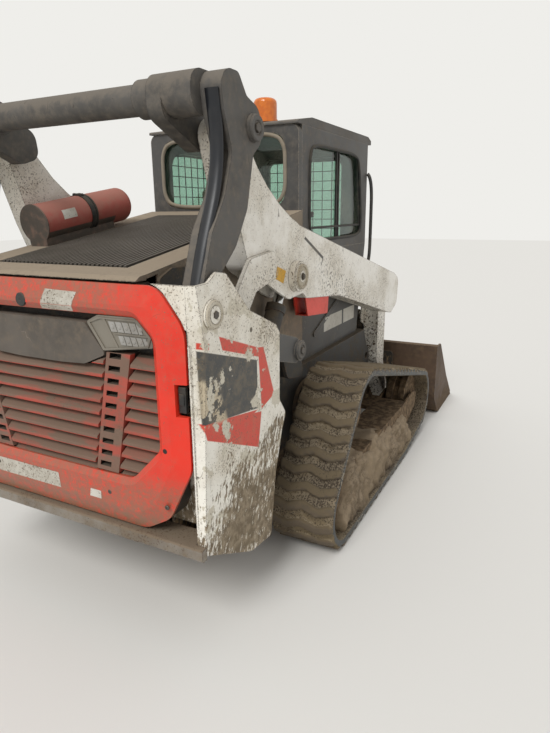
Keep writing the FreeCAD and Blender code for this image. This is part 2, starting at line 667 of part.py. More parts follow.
def control_link():
    low = -(ARM_INNER + ARM_WIDTH + 24 + 42)
    high = low + 42
    front = CONTROL_FRONT
    rear = CONTROL_REAR
    body = side_plate([(front[0] - 10, front[1] - 58, 50), (front[0] + 60, front[1] + 5, 52),
                       (front[0] - 20, front[1] + 62, 50), (rear[0] + 15, rear[1] + 62, 50),
                       (rear[0] - 62, rear[1] + 10, 52), (rear[0] - 5, rear[1] - 60, 50)], low, high)
    bosses = [across(pivot, 46, low - 14, low) for pivot in (front, rear)]
    whole = fused([body] + bosses)
    return whole.cut(across(front, LINK_PIN_RADIUS + PIN_CLEARANCE, low - 20, high + 1))


def cylinder_pair(base, eye, y, barrel_radius, rod_radius, eye_radius, eye_width, rod_out, base_pin):
    """Barrel with its base eye, and rod with its eye, along the line from base to eye."""
    start = toward(base, eye, eye_radius - 6)
    length = math.hypot(eye[0] - base[0], eye[1] - base[1])
    mouth = toward(base, eye, length - rod_out)
    tip = toward(base, eye, length - eye_radius + 6)
    deep = toward(base, eye, eye_radius + 15)

    def at(place):
        return point(place[0], y, place[1])
    barrel = bar(at(start), at(mouth), barrel_radius)
    gland = bar(at(toward(mouth, base, 34)), at(mouth), barrel_radius + 4)
    base_eye = across(base, eye_radius, y - eye_width / 2, y + eye_width / 2)
    port = bar(at(toward(base, eye, eye_radius + 46)), at(toward(base, eye, eye_radius + 66)),
               barrel_radius + 5)
    barrel = fused([barrel, gland, base_eye, port])
    barrel = barrel.cut(bar(at(deep), at(toward(mouth, eye, 5)), rod_radius + PIN_CLEARANCE))
    barrel = barrel.cut(across(base, base_pin + PIN_CLEARANCE, y - eye_width, y + eye_width))
    rod = bar(at(toward(base, eye, eye_radius + 75)), at(tip), rod_radius)
    rod_eye = across(eye, eye_radius, y - eye_width / 2, y + eye_width / 2)
    return barrel, fused([rod, rod_eye])


def coupler():
    """Quick coupler: tall plate with folded edges, pivot ears beside the legs and eye lugs."""
    face_x = BUCKET_BACK - SEAT_GAP
    half = LEG_OUTER + 5
    plate = back_plate(rectangle(-half, half, 95, 520, 30), face_x - 16, face_x)
    window = back_plate(rectangle(-170, 170, 200, 470, 40), face_x - 20, face_x + 4)
    pieces = [plate.cut(window)]
    for side in (-1, 1):
        for offset in (TILT_Y + TILT_EYE_WIDTH / 2 + SIDE_GAP, TILT_Y - TILT_EYE_WIDTH / 2 - SIDE_GAP - 16):
            low, high = sorted((side * offset, side * (offset + 16)))
            pieces.append(side_plate([(BUCKET_PIVOT[0] - 48, BUCKET_PIVOT[1] - 8, 44),
                                      (BUCKET_PIVOT[0] + 20, BUCKET_PIVOT[1] - 60, 30), (face_x - 15, 130, 0),
                                      (face_x - 15, 470, 0), (face_x - 40, 470, 20), (face_x - 50, 330, 20),
                                      (BUCKET_PIVOT[0] - 20, BUCKET_PIVOT[1] + 46, 40)], low, high))
        low, high = sorted((side * (LEG_INNER - SIDE_GAP - 16), side * (LEG_INNER + LEG_WIDTH)))
        pieces.append(across(BUCKET_PIVOT, ARM_PIN_RADIUS, low, high))
    return fused(pieces)


def bucket():
    """Dirt bucket: rolled back and heel, side plates, cutting edge and the coupler's hooks behind."""
    shell_outer = [(BUCKET_BACK, BUCKET_TOP, 4), (BUCKET_BACK, BUCKET_HEEL_Z, 100), (BUCKET_HEEL_X, 0, 160),
                   (BUCKET_TIP - 160, 0, 0), (BUCKET_TIP - 160, BUCKET_PLATE, 0),
                   (BUCKET_HEEL_X + 4, BUCKET_PLATE, 150),
                   (BUCKET_BACK + BUCKET_PLATE, BUCKET_HEEL_Z + 4, 92),
                   (BUCKET_BACK + BUCKET_PLATE, BUCKET_TOP, 0)]
    shell = side_plate(shell_outer, -BUCKET_HALF, BUCKET_HALF)
    side_outline = [(BUCKET_BACK, BUCKET_TOP, 0), (BUCKET_BACK, BUCKET_HEEL_Z, 100), (BUCKET_HEEL_X, 0, 160),
                    (BUCKET_TIP - 60, 0, 0), (BUCKET_TIP - 20, 30, 10), (BUCKET_TIP - 280, 250, 200),
                    (BUCKET_BACK + 118, BUCKET_TOP, 30)]
    pieces = [shell]
    for side in (-1, 1):
        low, high = sorted((side * BUCKET_HALF, side * (BUCKET_HALF - 12)))
        pieces.append(side_plate(side_outline, low, high))
    edge = side_plate([(BUCKET_TIP - 190, 0, 0), (BUCKET_TIP, 0, 0), (BUCKET_TIP - 26, 18, 0),
                       (BUCKET_TIP - 190, 18, 0)], -BUCKET_HALF, BUCKET_HALF)
    top_bar = block(BUCKET_BACK, BUCKET_BACK + 60, -BUCKET_HALF, BUCKET_HALF, BUCKET_TOP - 32, BUCKET_TOP)
    return fused(pieces + [edge, top_bar])


# Side window seen from the side: x, z, corner radius
SIDE_WINDOW = [(CAB_REAR + 130, 1440, 60), (CAB_FRONT - 90, 1440, 60), (CAB_FRONT - 170, 1925, 70),
               (CAB_REAR + 130, 1925, 90)]
REAR_WINDOW_HALF = CAB_HALF - 75
REAR_WINDOW = rectangle(-REAR_WINDOW_HALF, REAR_WINDOW_HALF, 1620, 1970, 70)


def cab_side():
    """Upper side of the cab with its window opening, at negative y."""
    wall = side_plate(rectangle(CAB_REAR + CAB_WALL, CAB_FRONT, CAB_WAIST, CAB_TOP, 0),
                      -CAB_HALF, -CAB_HALF + CAB_WALL)
    return wall.cut(side_plate(SIDE_WINDOW, -CAB_HALF - 1, -CAB_HALF + CAB_WALL + 1))


def cab_side_glass():
    middle = -CAB_HALF + CAB_WALL / 2
    return side_plate(SIDE_WINDOW, middle - GLASS / 2, middle + GLASS / 2)


def cab_lower_panel():
    """Ribbed lower side panel; its front edge leans forward towards the foot of the door."""
    outline = [(CAB_REAR + CAB_WALL, CAB_FLOOR, 0), (CAB_FRONT - 130, CAB_FLOOR, 0),
               (CAB_FRONT, CAB_WAIST - SEAT_GAP, 0),
               (CAB_REAR + CAB_WALL, CAB_WAIST - SEAT_GAP, 0)]
    panel = side_plate(outline, -CAB_HALF, -CAB_HALF + CAB_WALL)
    rib = side_plate([(1500, 900, 10), (2120, 1150, 10), (2110, 1180, 10), (1490, 930, 10)],
                     -CAB_HALF - 8, -CAB_HALF)
    return fused([panel, rib])


def cab_rear_wall():
    wall = back_plate([(-CAB_HALF, CAB_FLOOR, 0), (CAB_HALF, CAB_FLOOR, 0), (CAB_HALF, CAB_TOP, 40),
                       (-CAB_HALF, CAB_TOP, 40)], CAB_REAR, CAB_REAR + CAB_WALL)
    return wall.cut(back_plate(REAR_WINDOW, CAB_REAR - 1, CAB_REAR + CAB_WALL + 1))


def cab_rear_glass():
    middle = CAB_REAR + CAB_WALL / 2
    return back_plate(REAR_WINDOW, middle - GLASS / 2, middle + GLASS / 2)


DOOR_BOTTOM = 790.0
DOOR_TOP = 1960.0
DOOR_HALF = CAB_HALF - 135
DOOR_HINGE = (CAB_FRONT + 38, DOOR_HALF + 14)
DOOR_HINGE_HEIGHTS = (1000.0, 1700.0)


def cab_front_frame():
    inside = CAB_HALF - CAB_WALL
    frame = back_plate([(-inside, CAB_FLOOR - 30, 0), (inside, CAB_FLOOR - 30, 0), (inside, CAB_TOP, 0),
                        (-inside, CAB_TOP, 0)], CAB_FRONT - CAB_WALL, CAB_FRONT)
    opening = back_plate(rectangle(-DOOR_HALF + 25, DOOR_HALF - 25, DOOR_BOTTOM + 40, DOOR_TOP - 25, 50),
                         CAB_FRONT - CAB_WALL - 1, CAB_FRONT + 1)
    frame = frame.cut(opening)
    for middle in DOOR_HINGE_HEIGHTS:
        x, y = DOOR_HINGE
        pin = Part.makeCylinder(6, 130, point(x, y, middle - 65))
        frame = fused([frame, pin])
        for z_from, z_to in ((-65, -30 - SEAT_GAP), (30 + SEAT_GAP, 65)):
            leaf = block(CAB_FRONT - 1, x, y, y + 10, middle + z_from, middle + z_to)
            frame = fused([frame, leaf, door_hinge_eye(middle, z_from, z_to)])
    return frame


def door_hinge_eye(middle, z_from, z_to):
    return Part.makeCylinder(10, z_to - z_from, point(DOOR_HINGE[0], DOOR_HINGE[1], middle + z_from))


def cab_door():
    """Front door frame, which closes over the opening."""
    low = CAB_FRONT + SEAT_GAP
    frame = back_plate(rectangle(-DOOR_HALF, DOOR_HALF, DOOR_BOTTOM + 10, DOOR_TOP, 60), low, low + 30)
    pane = back_plate(rectangle(-DOOR_HALF + 45, DOOR_HALF - 45, DOOR_BOTTOM + 60, DOOR_TOP - 45, 40),
                      low - 1, low + 31)
    whole = frame.cut(pane)
    for middle in DOOR_HINGE_HEIGHTS:
        x, y = DOOR_HINGE
        leaf = block(low + 20, low + 36, DOOR_HALF - 30, y, middle - 30, middle + 30)
        whole = fused([whole, leaf, door_hinge_eye(middle, -30, 30)])
        whole = whole.cut(Part.makeCylinder(6 + PIN_CLEARANCE, 62, point(x, y, middle - 31)))
    return whole


def door_glass():
    middle = CAB_FRONT + SEAT_GAP + 15
    return back_plate(rectangle(-DOOR_HALF + 45, DOOR_HALF - 45, DOOR_BOTTOM + 60, DOOR_TOP - 45, 40),
                      middle - 4, middle + 4)


def cab_roof():
    outline = [(CAB_REAR - 10, CAB_TOP + SEAT_GAP, 0), (CAB_FRONT + ROOF_OVERHANG, CAB_TOP + SEAT_GAP, 0),
               (CAB_FRONT + ROOF_OVERHANG, 2030, 10), (CAB_FRONT, ROOF_TOP, 40),
               (CAB_REAR + 160, ROOF_TOP, 80), (CAB_REAR - 10, CAB_TOP + 14, 10)]
    return side_plate(outline, -CAB_HALF, CAB_HALF)


def cab_floor():
    return block(CAB_REAR + CAB_WALL, CAB_FRONT - CAB_WALL, -CAB_HALF + CAB_WALL, CAB_HALF - CAB_WALL,
                 CAB_FLOOR, CAB_FLOOR + 12)


SEAT_REAR = CAB_REAR + 90
SEAT_HEIGHT = 1190.0


def seat():
    under = SEAT_HEIGHT - 110
    base = block(SEAT_REAR + 10, SEAT_REAR + 510, -SEAT_HALF + 10, SEAT_HALF - 10, CAB_FLOOR + 12, under)
    cushion = side_plate([(SEAT_REAR, under, 0), (SEAT_REAR + 570, under, 45),
                          (SEAT_REAR + 570, SEAT_HEIGHT, 45), (SEAT_REAR, SEAT_HEIGHT, 0)],
                         -SEAT_HALF, SEAT_HALF)
    seated = SEAT_HEIGHT + SEAT_GAP
    back = side_plate([(SEAT_REAR + 10, seated, 0), (SEAT_REAR + 110, seated, 0),
                       (SEAT_REAR + 60, seated + 560, 34), (SEAT_REAR - 20, seated + 560, 34)],
                      -SEAT_HALF + 15, SEAT_HALF - 15)
    return Part.makeCompound([fused([base, cushion]), back])


def consoles():
    solids = []
    for side in (-1, 1):
        low, high = sorted((side * (CONSOLE_OUTER - CONSOLE_WIDTH), side * CONSOLE_OUTER))
        rest = side_plate(rectangle(SEAT_REAR + 170, SEAT_REAR + 640, 1150, 1215, 20), low, high)
        post = block(SEAT_REAR + 250, SEAT_REAR + 370, low + 20, high - 20, CAB_FLOOR + 12, 1151)
        grip = point(SEAT_REAR + 585, (low + high) / 2, 1214)
        stick = bar(grip, grip + point(0, 0, 116), 16)
        solids.append(fused([rest, post, stick]))
    return Part.makeCompound(solids)


BEACON = (1500.0, -165.0)


def beacon():
    x, y = BEACON
    base = Part.makeCylinder(66, 14, point(x, y, ROOF_TOP))
    dome = Part.makeCylinder(62, 106, point(x, y, ROOF_TOP + 14))
    dome = dome.makeFillet(26, [edge for edge in dome.Edges if edge.BoundBox.ZMin > ROOF_TOP + 100])
    return fused([base, dome])


def hood_frame():
    """Sloping cover with a raised lip, open in the middle for the screen."""
    outline = [(HOOD_REAR, slope_z(HOOD_REAR) - HOOD_PLATE, 0),
               (HOOD_FRONT, slope_z(HOOD_FRONT) - HOOD_PLATE, 0),
               (HOOD_FRONT, slope_z(HOOD_FRONT), 0), (HOOD_REAR, slope_z(HOOD_REAR), 0)]
    plate = side_plate(outline, -HOOD_HALF, HOOD_HALF)
    window = block(SCREEN_REAR, SCREEN_FRONT, -SCREEN_HALF, SCREEN_HALF, 1200, 1800)
    lip_low = GATE_TOP + SIDE_GAP + 3
    lip = side_plate([(HOOD_REAR - 34, lip_low, 0), (HOOD_REAR + 20, lip_low, 0),
                      (HOOD_REAR + 20, slope_z(HOOD_REAR + 20), 0), (HOOD_REAR - 10, slope_z(HOOD_REAR), 8)],
                     -HOOD_HALF, HOOD_HALF)
    skirts = []
    for side in (-1, 1):
        low, high = sorted((side * HOOD_HALF, side * (HOOD_HALF - 10)))
        skirts.append(side_plate([(140, 1200, 20), (420, 1150, 40), (700, 950, 60), (1000, 820, 60),
                                  (HOOD_FRONT, 820, 0), (HOOD_FRONT, slope_z(HOOD_FRONT) - 5, 0),
                                  (140, slope_z(140) - 5, 0)], low, high))
    return fused([plate.cut(window), lip] + skirts)


def hood_screen():
    """Lengthwise ribs in a thin frame, let into the hood."""
    low = HOOD_PLATE - 4
    rear, front = SCREEN_REAR + SEAT_GAP, SCREEN_FRONT - SEAT_GAP
    frame = side_plate([(rear, slope_z(rear) - low, 0), (front, slope_z(front) - low, 0),
                        (front, slope_z(front) - low + 5, 0), (rear, slope_z(rear) - low + 5, 0)],
                       -SCREEN_HALF + SEAT_GAP, SCREEN_HALF - SEAT_GAP)
    pitch = 2 * (SCREEN_HALF - 14) / SCREEN_RIBS
    ribs = []
    for k in range(SCREEN_RIBS):
        y = -SCREEN_HALF + 14 + pitch * (k + 0.5)
        ribs.append(side_plate([(SCREEN_REAR + 14, slope_z(SCREEN_REAR + 14) - low + 4, 0),
                                (SCREEN_FRONT - 14, slope_z(SCREEN_FRONT - 14) - low + 4, 0),
                                (SCREEN_FRONT - 14, slope_z(SCREEN_FRONT - 14) + 3, 0),
                                (SCREEN_REAR + 14, slope_z(SCREEN_REAR + 14) + 3, 0)],
                               y - pitch * 0.28, y + pitch * 0.28))
    return frame.multiFuse(ribs)


TRAY_HALF = 52.0


def extinguisher():
    """Fire extinguisher in its cradle, lying along the left edge of the hood."""
    rise = math.radians(HOOD_SLOPE)
    start_x = 420.0
    radius = 82.0
    y = HOOD_HALF - radius - 1
    length = 560.0
    across_up = point(-math.sin(rise), 0, math.cos(rise))
    along = point(math.cos(rise), 0, math.sin(rise))
    foot = point(start_x, y, slope_z(start_x))
    centre = foot + across_up * (radius + 14)
    bottle = Part.makeCylinder(radius, length, centre, along)
    shoulder = [edge for edge in bottle.Edges
                if edge.CenterOfMass.x > start_x + length * 0.7 and len(edge.Vertexes) == 1]
    bottle = bottle.makeFillet(34, shoulder)
    disc = Part.makeCylinder(radius + 3, 6, centre - along * 6, along)
    tray = Part.makeBox(length - 130, 2 * TRAY_HALF, radius * 0.9)
    tray.translate(point(0, -TRAY_HALF, 0))
    tray.rotate(point(0, 0, 0), point(0, 1, 0), -HOOD_SLOPE)
    tray.translate(foot - along * 6 + across_up * 0.2)
    return fused([bottle, disc, tray])


# Tailgate outline seen from behind: y, z, corner radius
GATE_SHOULDER = TAILGATE_HALF - 100
GATE_OPENING_HALF = TAILGATE_HALF - 125
GATE_RIDGE = 7.0            # x of the raised ridge round the opening
GATE_BEVEL = 66.0           # from the gate's edge to the ridge
GATE_LIP = 24.0             # from the ridge to the opening
LATCH_CUT = (-TAILGATE_HALF + 42, 952.0, 1062.0)    # y, lowest and highest z of the notch for the latch


def both_sides(right_corners):
    """A closed outline from its corners at negative y and their mirror images."""
    return right_corners + [(-y, z, radius) for y, z, radius in reversed(right_corners)]


GATE_OUTLINE = both_sides([
    (-TAILGATE_HALF + 210, GATE_BOTTOM, 120), (-GATE_SHOULDER, 560, 90), (-TAILGATE_HALF, 760, 90),
    (-TAILGATE_HALF, 1240, 120), (-GATE_SHOULDER, GATE_TOP, 90)])
GATE_OPENING = both_sides([
    (-TAILGATE_HALF + 400, 678, 40), (-GATE_OPENING_HALF + 130, 682, 60), (-GATE_OPENING_HALF, 812, 50),
    (-GATE_OPENING_HALF, 1200, 50), (-GATE_OPENING_HALF + 68, 1266, 40)])


def hinge_barrel(middle, z_from, z_to, radius):
    foot = point(HINGE[0], HINGE[1], middle + z_from)
    return Part.makeCylinder(radius, z_to - z_from, foot, point(0, 0, 1))


def gate_section(outline, x, grow):
    """The outline in the plane x, grown outwards, as a wire."""
    face = Part.Face(rounded_wire(outline, lambda u, v: point(x, u, v)))
    return face.makeOffset2D(grow).OuterWire if grow else face.OuterWire


def tailgate_frame():
    """Moulded outer panel: a bevel from its edge up to a ridge, a lip round the opening, hinge leaves."""
    low = GATE_REAR + 6
    whole = back_plate(GATE_OUTLINE, low, GATE_REAR + GATE_EDGE)
    ridge = Part.makeLoft([gate_section(GATE_OUTLINE, GATE_RIDGE, -GATE_BEVEL),
                           gate_section(GATE_OUTLINE, low, 0)], True, True)
    lip = Part.makeLoft([gate_section(GATE_OPENING, GATE_RIDGE - 1, GATE_LIP),
                         gate_section(GATE_OPENING, low, 0)], True, True)
    whole = fused([whole, ridge]).cut(lip)
    whole = whole.cut(back_plate(GATE_OPENING, low - 1, GATE_REAR + GATE_EDGE + 1))
    y, z_from, z_to = LATCH_CUT
    whole = whole.cut(block(GATE_RIDGE - 1, GATE_REAR + GATE_EDGE + 1, -TAILGATE_HALF - 1, y, z_from, z_to))
    for middle in HINGE_HEIGHTS:
        leaf = block(HINGE[0], GATE_REAR + 7, TAILGATE_HALF - 60, HINGE[1], middle - 35, middle + 35)
        whole = fused([whole, leaf, hinge_barrel(middle, -35, 35, HINGE_RADIUS)])
        whole = whole.cut(hinge_barrel(middle, -36, 36, HINGE_PIN + PIN_CLEARANCE))
    return whole


def gate_core(x_from, x_to):
    """The depth of the gate that stays clear of the rear links' feet and their collars."""
    return fused([block(x_from, x_to, -GATE_EDGE_HALF, GATE_EDGE_HALF, GATE_BOTTOM, GATE_NOTCH_BOTTOM),
                  block(x_from, x_to, -GATE_NOTCH_HALF, GATE_NOTCH_HALF, GATE_NOTCH_BOTTOM - 1, GATE_TOP)])


def tailgate_inner_frame():
    """Deep frame behind the outer panel."""
    low, high = GATE_REAR + GATE_EDGE + SEAT_GAP, GATE_REAR + GATE_DEPTH
    whole = back_plate(GATE_OUTLINE, low, high).common(gate_core(low, high))
    return whole.cut(back_plate(GATE_OPENING, low - 1, high + 1))


def tailgate_hinges():
    """The chassis half of both hinges, which the left upright carries."""
    pieces = []
    for middle in HINGE_HEIGHTS:
        pieces.append(hinge_barrel(middle, -70, 70, HINGE_PIN))
        for z_from, z_to in ((-70, -35 - SEAT_GAP), (35 + SEAT_GAP, 70)):
            pieces.append(hinge_barrel(middle, z_from, z_to, HINGE_RADIUS))
            pieces.append(block(HINGE[0], UPRIGHT_REAR + 1, HINGE[1], UPRIGHT_OUTER - UPRIGHT_PLATE - 2,
                                middle + z_from, middle + z_to))
    return pieces


def gate_fill(x_from, x_to):
    """Everything that fits inside the tailgate's opening, with the seating gap round it."""
    face = Part.Face(rounded_wire(GATE_OPENING, lambda u, v: point(x_from, u, v)))
    return face.makeOffset2D(-SEAT_GAP).extrude(point(x_to - x_from, 0, 0))


LOUVRES = 10
LOUVRE_PITCH = 48.0
LOUVRE_TOP = 1120.0
LAMP_BOTTOM = 1141.0
COLUMN_WIDTH = 104.0
COLUMN_INNER = (228.0, 328.0)   # |y| of the slotted bar's inner edge at its foot and under the lamp
COLUMN_FOOT = 684.0


def column_edge(z, outward):
    """|y| of the slanted bar's inner edge at a height, moved outward."""
    share = (z - COLUMN_FOOT) / (LAMP_BOTTOM - COLUMN_FOOT)
    return COLUMN_INNER[0] + (COLUMN_INNER[1] - COLUMN_INNER[0]) * share + outward


def slanted_field(z_from, z_to, inward, outward, x_from, x_to):
    """Bar between two lines that lean like the slotted column, at negative y."""
    return back_plate([(-column_edge(z_from, inward), z_from, 0),
                       (-column_edge(z_from, outward), z_from, 0),
                       (-column_edge(z_to, outward), z_to, 0),
                       (-column_edge(z_to, inward), z_to, 0)], x_from, x_to)


def louvre(y_from, y_to, z):
    """One thick slat with a rounded nose, sloping down towards the rear."""
    return side_plate([(GATE_REAR + 6, z - 30, 5), (GATE_REAR + 16, z - 32, 0), (GATE_REAR + 62, z - 14, 0),
                       (GATE_REAR + 62, z + 12, 0), (GATE_REAR + 44, z + 12, 0), (GATE_REAR + 6, z - 16, 6)],
                      y_from, y_to)


# The blank name-plate field between the lamps: y, z, corner radius
BADGE_OUTLINE = both_sides([(-107, 1078, 30), (-222, 1084, 30), (-325, 1127, 12), (-240, 1233, 14)])
# A rear lamp in the opening's upper corner: y, z, corner radius
LAMP_OUTLINE = [
    (-322, LAMP_BOTTOM, 10), (-GATE_OPENING_HALF + 1, 1170, 6), (-GATE_OPENING_HALF, 1203, 36),
    (-GATE_OPENING_HALF + 68, 1265, 36), (-306, 1263, 16), (-252, 1238, 10)]


def tailgate_grille():
    """Back panel, louvres either side of the slanted slotted bars, and the bars themselves."""
    inner = GATE_REAR + 60
    panel = gate_fill(inner, inner + 10).common(gate_core(inner, inner + 10))
    seat_block = back_plate(BADGE_OUTLINE, GATE_REAR + 48 + SEAT_GAP, inner + 1)
    slats = fused([louvre(-GATE_OPENING_HALF, GATE_OPENING_HALF, LOUVRE_TOP - k * LOUVRE_PITCH)
                   for k in range(LOUVRES)])
    gap = slanted_field(COLUMN_FOOT - 60, GATE_TOP, -8, COLUMN_WIDTH + 8, GATE_REAR, inner)
    column = slanted_field(COLUMN_FOOT, LAMP_BOTTOM - 4, 0, COLUMN_WIDTH, GATE_REAR + 10, inner + 1)
    for k in range(LOUVRES):
        z = LAMP_BOTTOM - 26 - k * LOUVRE_PITCH * 0.96
        column = column.cut(slanted_field(z, z + 20, 14, 66, GATE_REAR + 6, GATE_REAR + 40))
    slats = slats.cut(gap).cut(mirrored(gap))
    for outline in (BADGE_OUTLINE, LAMP_OUTLINE):
        face = Part.Face(rounded_wire(outline, lambda u, v: point(GATE_REAR, u, v)))
        around = face.makeOffset2D(6.0).extrude(point(60, 0, 0))
        slats = slats.cut(around).cut(mirrored(around))
    whole = fused([panel, seat_block, column, mirrored(column)] + slats.Solids)
    return whole.common(gate_fill(GATE_REAR + 2, inner + 10))


def badge_panel():
    low, high = GATE_REAR + 6, GATE_REAR + 48
    return gate_fill(low, high).common(back_plate(BADGE_OUTLINE, low, high))


def tail_lamp():
    low, high = GATE_REAR + 4, GATE_REAR + 4 + LAMP_DEPTH
    return gate_fill(low, high).common(back_plate(LAMP_OUTLINE, low, high))


def both(right_shape):
    """The right-hand piece and its mirror image, as solids of one node."""
    return Part.makeCompound([right_shape, mirrored(right_shape)])


def main():
    save("main_frame", main_frame())
    right = upright()
    save("upright_right", right)
    save("upright_left", fused([mirrored(right)] + tailgate_hinges()))
    save("frame_pivots", both(Part.makeCompound([pivot_set(), control_bracket()])))
    save("rear_bumper", rear_bumper())
    save("engine_block", engine_block())
    save("cooler", cooler())
    save("track_frames", both(track_frame()))
    save_pair("track", track())
    save("sprockets", both(sprocket()))
    save("final_drives", both(final_drive()))
    save("idlers", both(idlers()))
    save("rollers", both(rollers()))
    save_pair("lift_arm", fused([lift_arm(), tilt_lugs()]))
    save("arm_cross_tube", arm_cross_tube())
    save("arm_support", arm_support())
    save_pair("rear_link", rear_link())
    save("link_cross_tube", link_cross_tube())
    save("control_links", both(control_link()))
    barrel, rod = cylinder_pair(LIFT_BASE, LIFT_EYE, -LIFT_Y, 42, 24, 46, 64, 150, LINK_PIN_RADIUS)
    save("lift_barrels", both(barrel))
    save("lift_rods", both(rod))
    barrel, rod = cylinder_pair(TILT_BASE, TILT_EYE, -TILT_Y, 34, 18, 34, TILT_EYE_WIDTH, 170,
                                TILT_PIN_RADIUS)
    save("tilt_barrels", both(barrel))
    save("tilt_rods", both(rod))
    save("coupler", coupler())
    save("bucket", bucket())
    save_pair("cab_side", cab_side())
    save("cab_lower_panels", both(cab_lower_panel()))
    save("cab_rear_wall", cab_rear_wall())
    save("cab_glass", Part.makeCompound([both(cab_side_glass()), cab_rear_glass()]))
    save("cab_front_frame", cab_front_frame())
    save("cab_roof", cab_roof())
    save("cab_floor", cab_floor())
    save("cab_door", cab_door())
    save("door_glass", door_glass())
    save("seat", seat())
    save("consoles", consoles())
    save("beacon", beacon())
    save("hood_frame", hood_frame())
    save("hood_screen", hood_screen())
    save("extinguisher", extinguisher())
    save("tailgate_frame", tailgate_frame())
    save("tailgate_inner_frame", tailgate_inner_frame())
    save("tailgate_grille", tailgate_grille())
    save("badge_panel", badge_panel())
    save("tail_lamps", both(tail_lamp()))


main()
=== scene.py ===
"""Surfaces, small fittings and studio for a compact track loader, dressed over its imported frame.

Sizes in the tables are millimetres on the machine: x forward from the rear bumper, y to the left
and z up. place() turns them into metres in the frame.
"""
import math

import bmesh
import bpy
import numpy
from mathutils import Matrix, Vector, noise as field


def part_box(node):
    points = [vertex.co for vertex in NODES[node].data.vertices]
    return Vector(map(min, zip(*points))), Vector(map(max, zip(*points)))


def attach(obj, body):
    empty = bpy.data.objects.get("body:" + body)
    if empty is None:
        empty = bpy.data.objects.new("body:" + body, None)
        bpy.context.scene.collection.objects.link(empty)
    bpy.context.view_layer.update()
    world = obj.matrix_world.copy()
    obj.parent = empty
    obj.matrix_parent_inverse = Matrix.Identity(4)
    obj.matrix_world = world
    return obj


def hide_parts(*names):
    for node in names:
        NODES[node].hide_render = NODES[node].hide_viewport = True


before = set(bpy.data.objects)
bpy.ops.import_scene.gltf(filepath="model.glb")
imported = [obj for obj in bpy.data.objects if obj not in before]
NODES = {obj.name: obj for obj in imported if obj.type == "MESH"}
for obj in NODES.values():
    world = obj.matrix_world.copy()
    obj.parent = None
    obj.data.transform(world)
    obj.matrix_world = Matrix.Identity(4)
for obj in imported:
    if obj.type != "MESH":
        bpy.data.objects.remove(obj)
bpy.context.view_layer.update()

bl_info = {
    "name": "Track loader surfaces",
    "version": (1, 0, 0),
    "blender": (4, 5, 0),
    "location": "3D View > Sidebar > Loader",
    "description": "Dresses a compact track loader with finishes, fittings and a studio",
    "category": "Object",
}

HALF_LENGTH = 1810.0                   # machine x of the frame's origin
AHEAD = Vector((1, 0, 0))
LEFTWARD = Vector((0, 1, 0))
DOWN = Vector((0, 0, -1))


def place(x, y, z):
    """A machine point in millimetres, as a point of the frame in metres."""
    return Vector(((x - HALF_LENGTH) / 1000, y / 1000, z / 1000))


def in_mm(length):
    """A length property, which Blender holds in metres, in whole thousandths of a millimetre."""
    return round(length * 1000, 3)


def linear(code):
    """sRGB hex to a linear colour with alpha."""
    parts = [int(code[i:i + 2], 16) / 255 for i in (1, 3, 5)]
    return [c / 12.92 if c <= 0.04045 else ((c + 0.055) / 1.055) ** 2.4 for c in parts] + [1.0]


def per_metre(size_mm):
    """Texture scale at which one pattern cell is size_mm wide."""
    return 1000.0 / size_mm


# Materials

SMOOTH = {"interpolation_type": "SMOOTHSTEP"}     # a map range that eases in and out
COLOURS = {"data_type": "RGBA"}                   # a mix of two colours


def add(tree, kind, *values, output=None, inputs=None, **settings):
    """Adds a node with its settings and returns the output asked for, or else the first open one.

    values fill its open inputs in their order, and inputs fills others by name, each with a value or a link.
    """
    node = tree.nodes.new("ShaderNode" + kind)
    for key, value in settings.items():
        setattr(node, key, value)
    filled = list(zip([socket for socket in node.inputs if socket.enabled], values))
    filled += [(node.inputs[name], value) for name, value in (inputs or {}).items()]
    for socket, value in filled:
        if isinstance(value, bpy.types.NodeSocket):
            tree.links.new(value, socket)
        else:
            socket.default_value = value
    if output:
        return node.outputs[output]
    return next((socket for socket in node.outputs if socket.enabled), None)


def along(tree, where, direction, origin):
    """Distance in metres of a surface point from origin, along direction."""
    reach = add(tree, "VectorMath", where, tuple(direction), operation="DOT_PRODUCT")
    return add(tree, "Math", reach, direction.dot(origin), operation="SUBTRACT")


def inside(tree, where, corners, seen_from="side", soft_mm=2.0):
    """1 inside a convex outline, whose corners are machine x, z from the side or y, z from behind."""
    middle = Vector([sum(c[i] for c in corners) / len(corners) for i in (0, 1)])
    depth = None
    for corner, following in zip(corners, corners[1:] + corners[:1]):
        normal = Vector((corner[1] - following[1], following[0] - corner[0])).normalized()
        if normal.dot(middle - Vector(corner)) < 0:
            normal = -normal
        if seen_from == "side":
            reach = along(tree, where, Vector((normal[0], 0, normal[1])), place(corner[0], 0, corner[1]))
        else:
            reach = along(tree, where, Vector((0, normal[0], normal[1])), place(0, corner[0], corner[1]))
        depth = add(tree, "Math", depth, reach, operation="MINIMUM") if depth else reach
    return add(tree, "MapRange", depth, -soft_mm / 1000, soft_mm / 1000, **SMOOTH)


def round_spot(tree, where, centre, radius_mm):
    """1 inside a circle round a machine point, seen along the axis whose coordinate is None."""
    kept = tuple(0.0 if c is None else 1.0 for c in centre)
    middle = place(*[c or 0.0 for c in centre])
    middle = tuple(c * keep for c, keep in zip(middle, kept))
    flat = add(tree, "VectorMath", where, kept, operation="MULTIPLY")
    reach = add(tree, "VectorMath", flat, middle, operation="DISTANCE")
    return add(tree, "MapRange", reach, (radius_mm + 1) / 1000, (radius_mm - 1) / 1000, **SMOOTH)


def new_material(name):
    """An empty material and its node tree."""
    material = bpy.data.materials.new(name)
    material.use_nodes = True
    tree = material.node_tree
    tree.nodes.clear()
    return material, tree


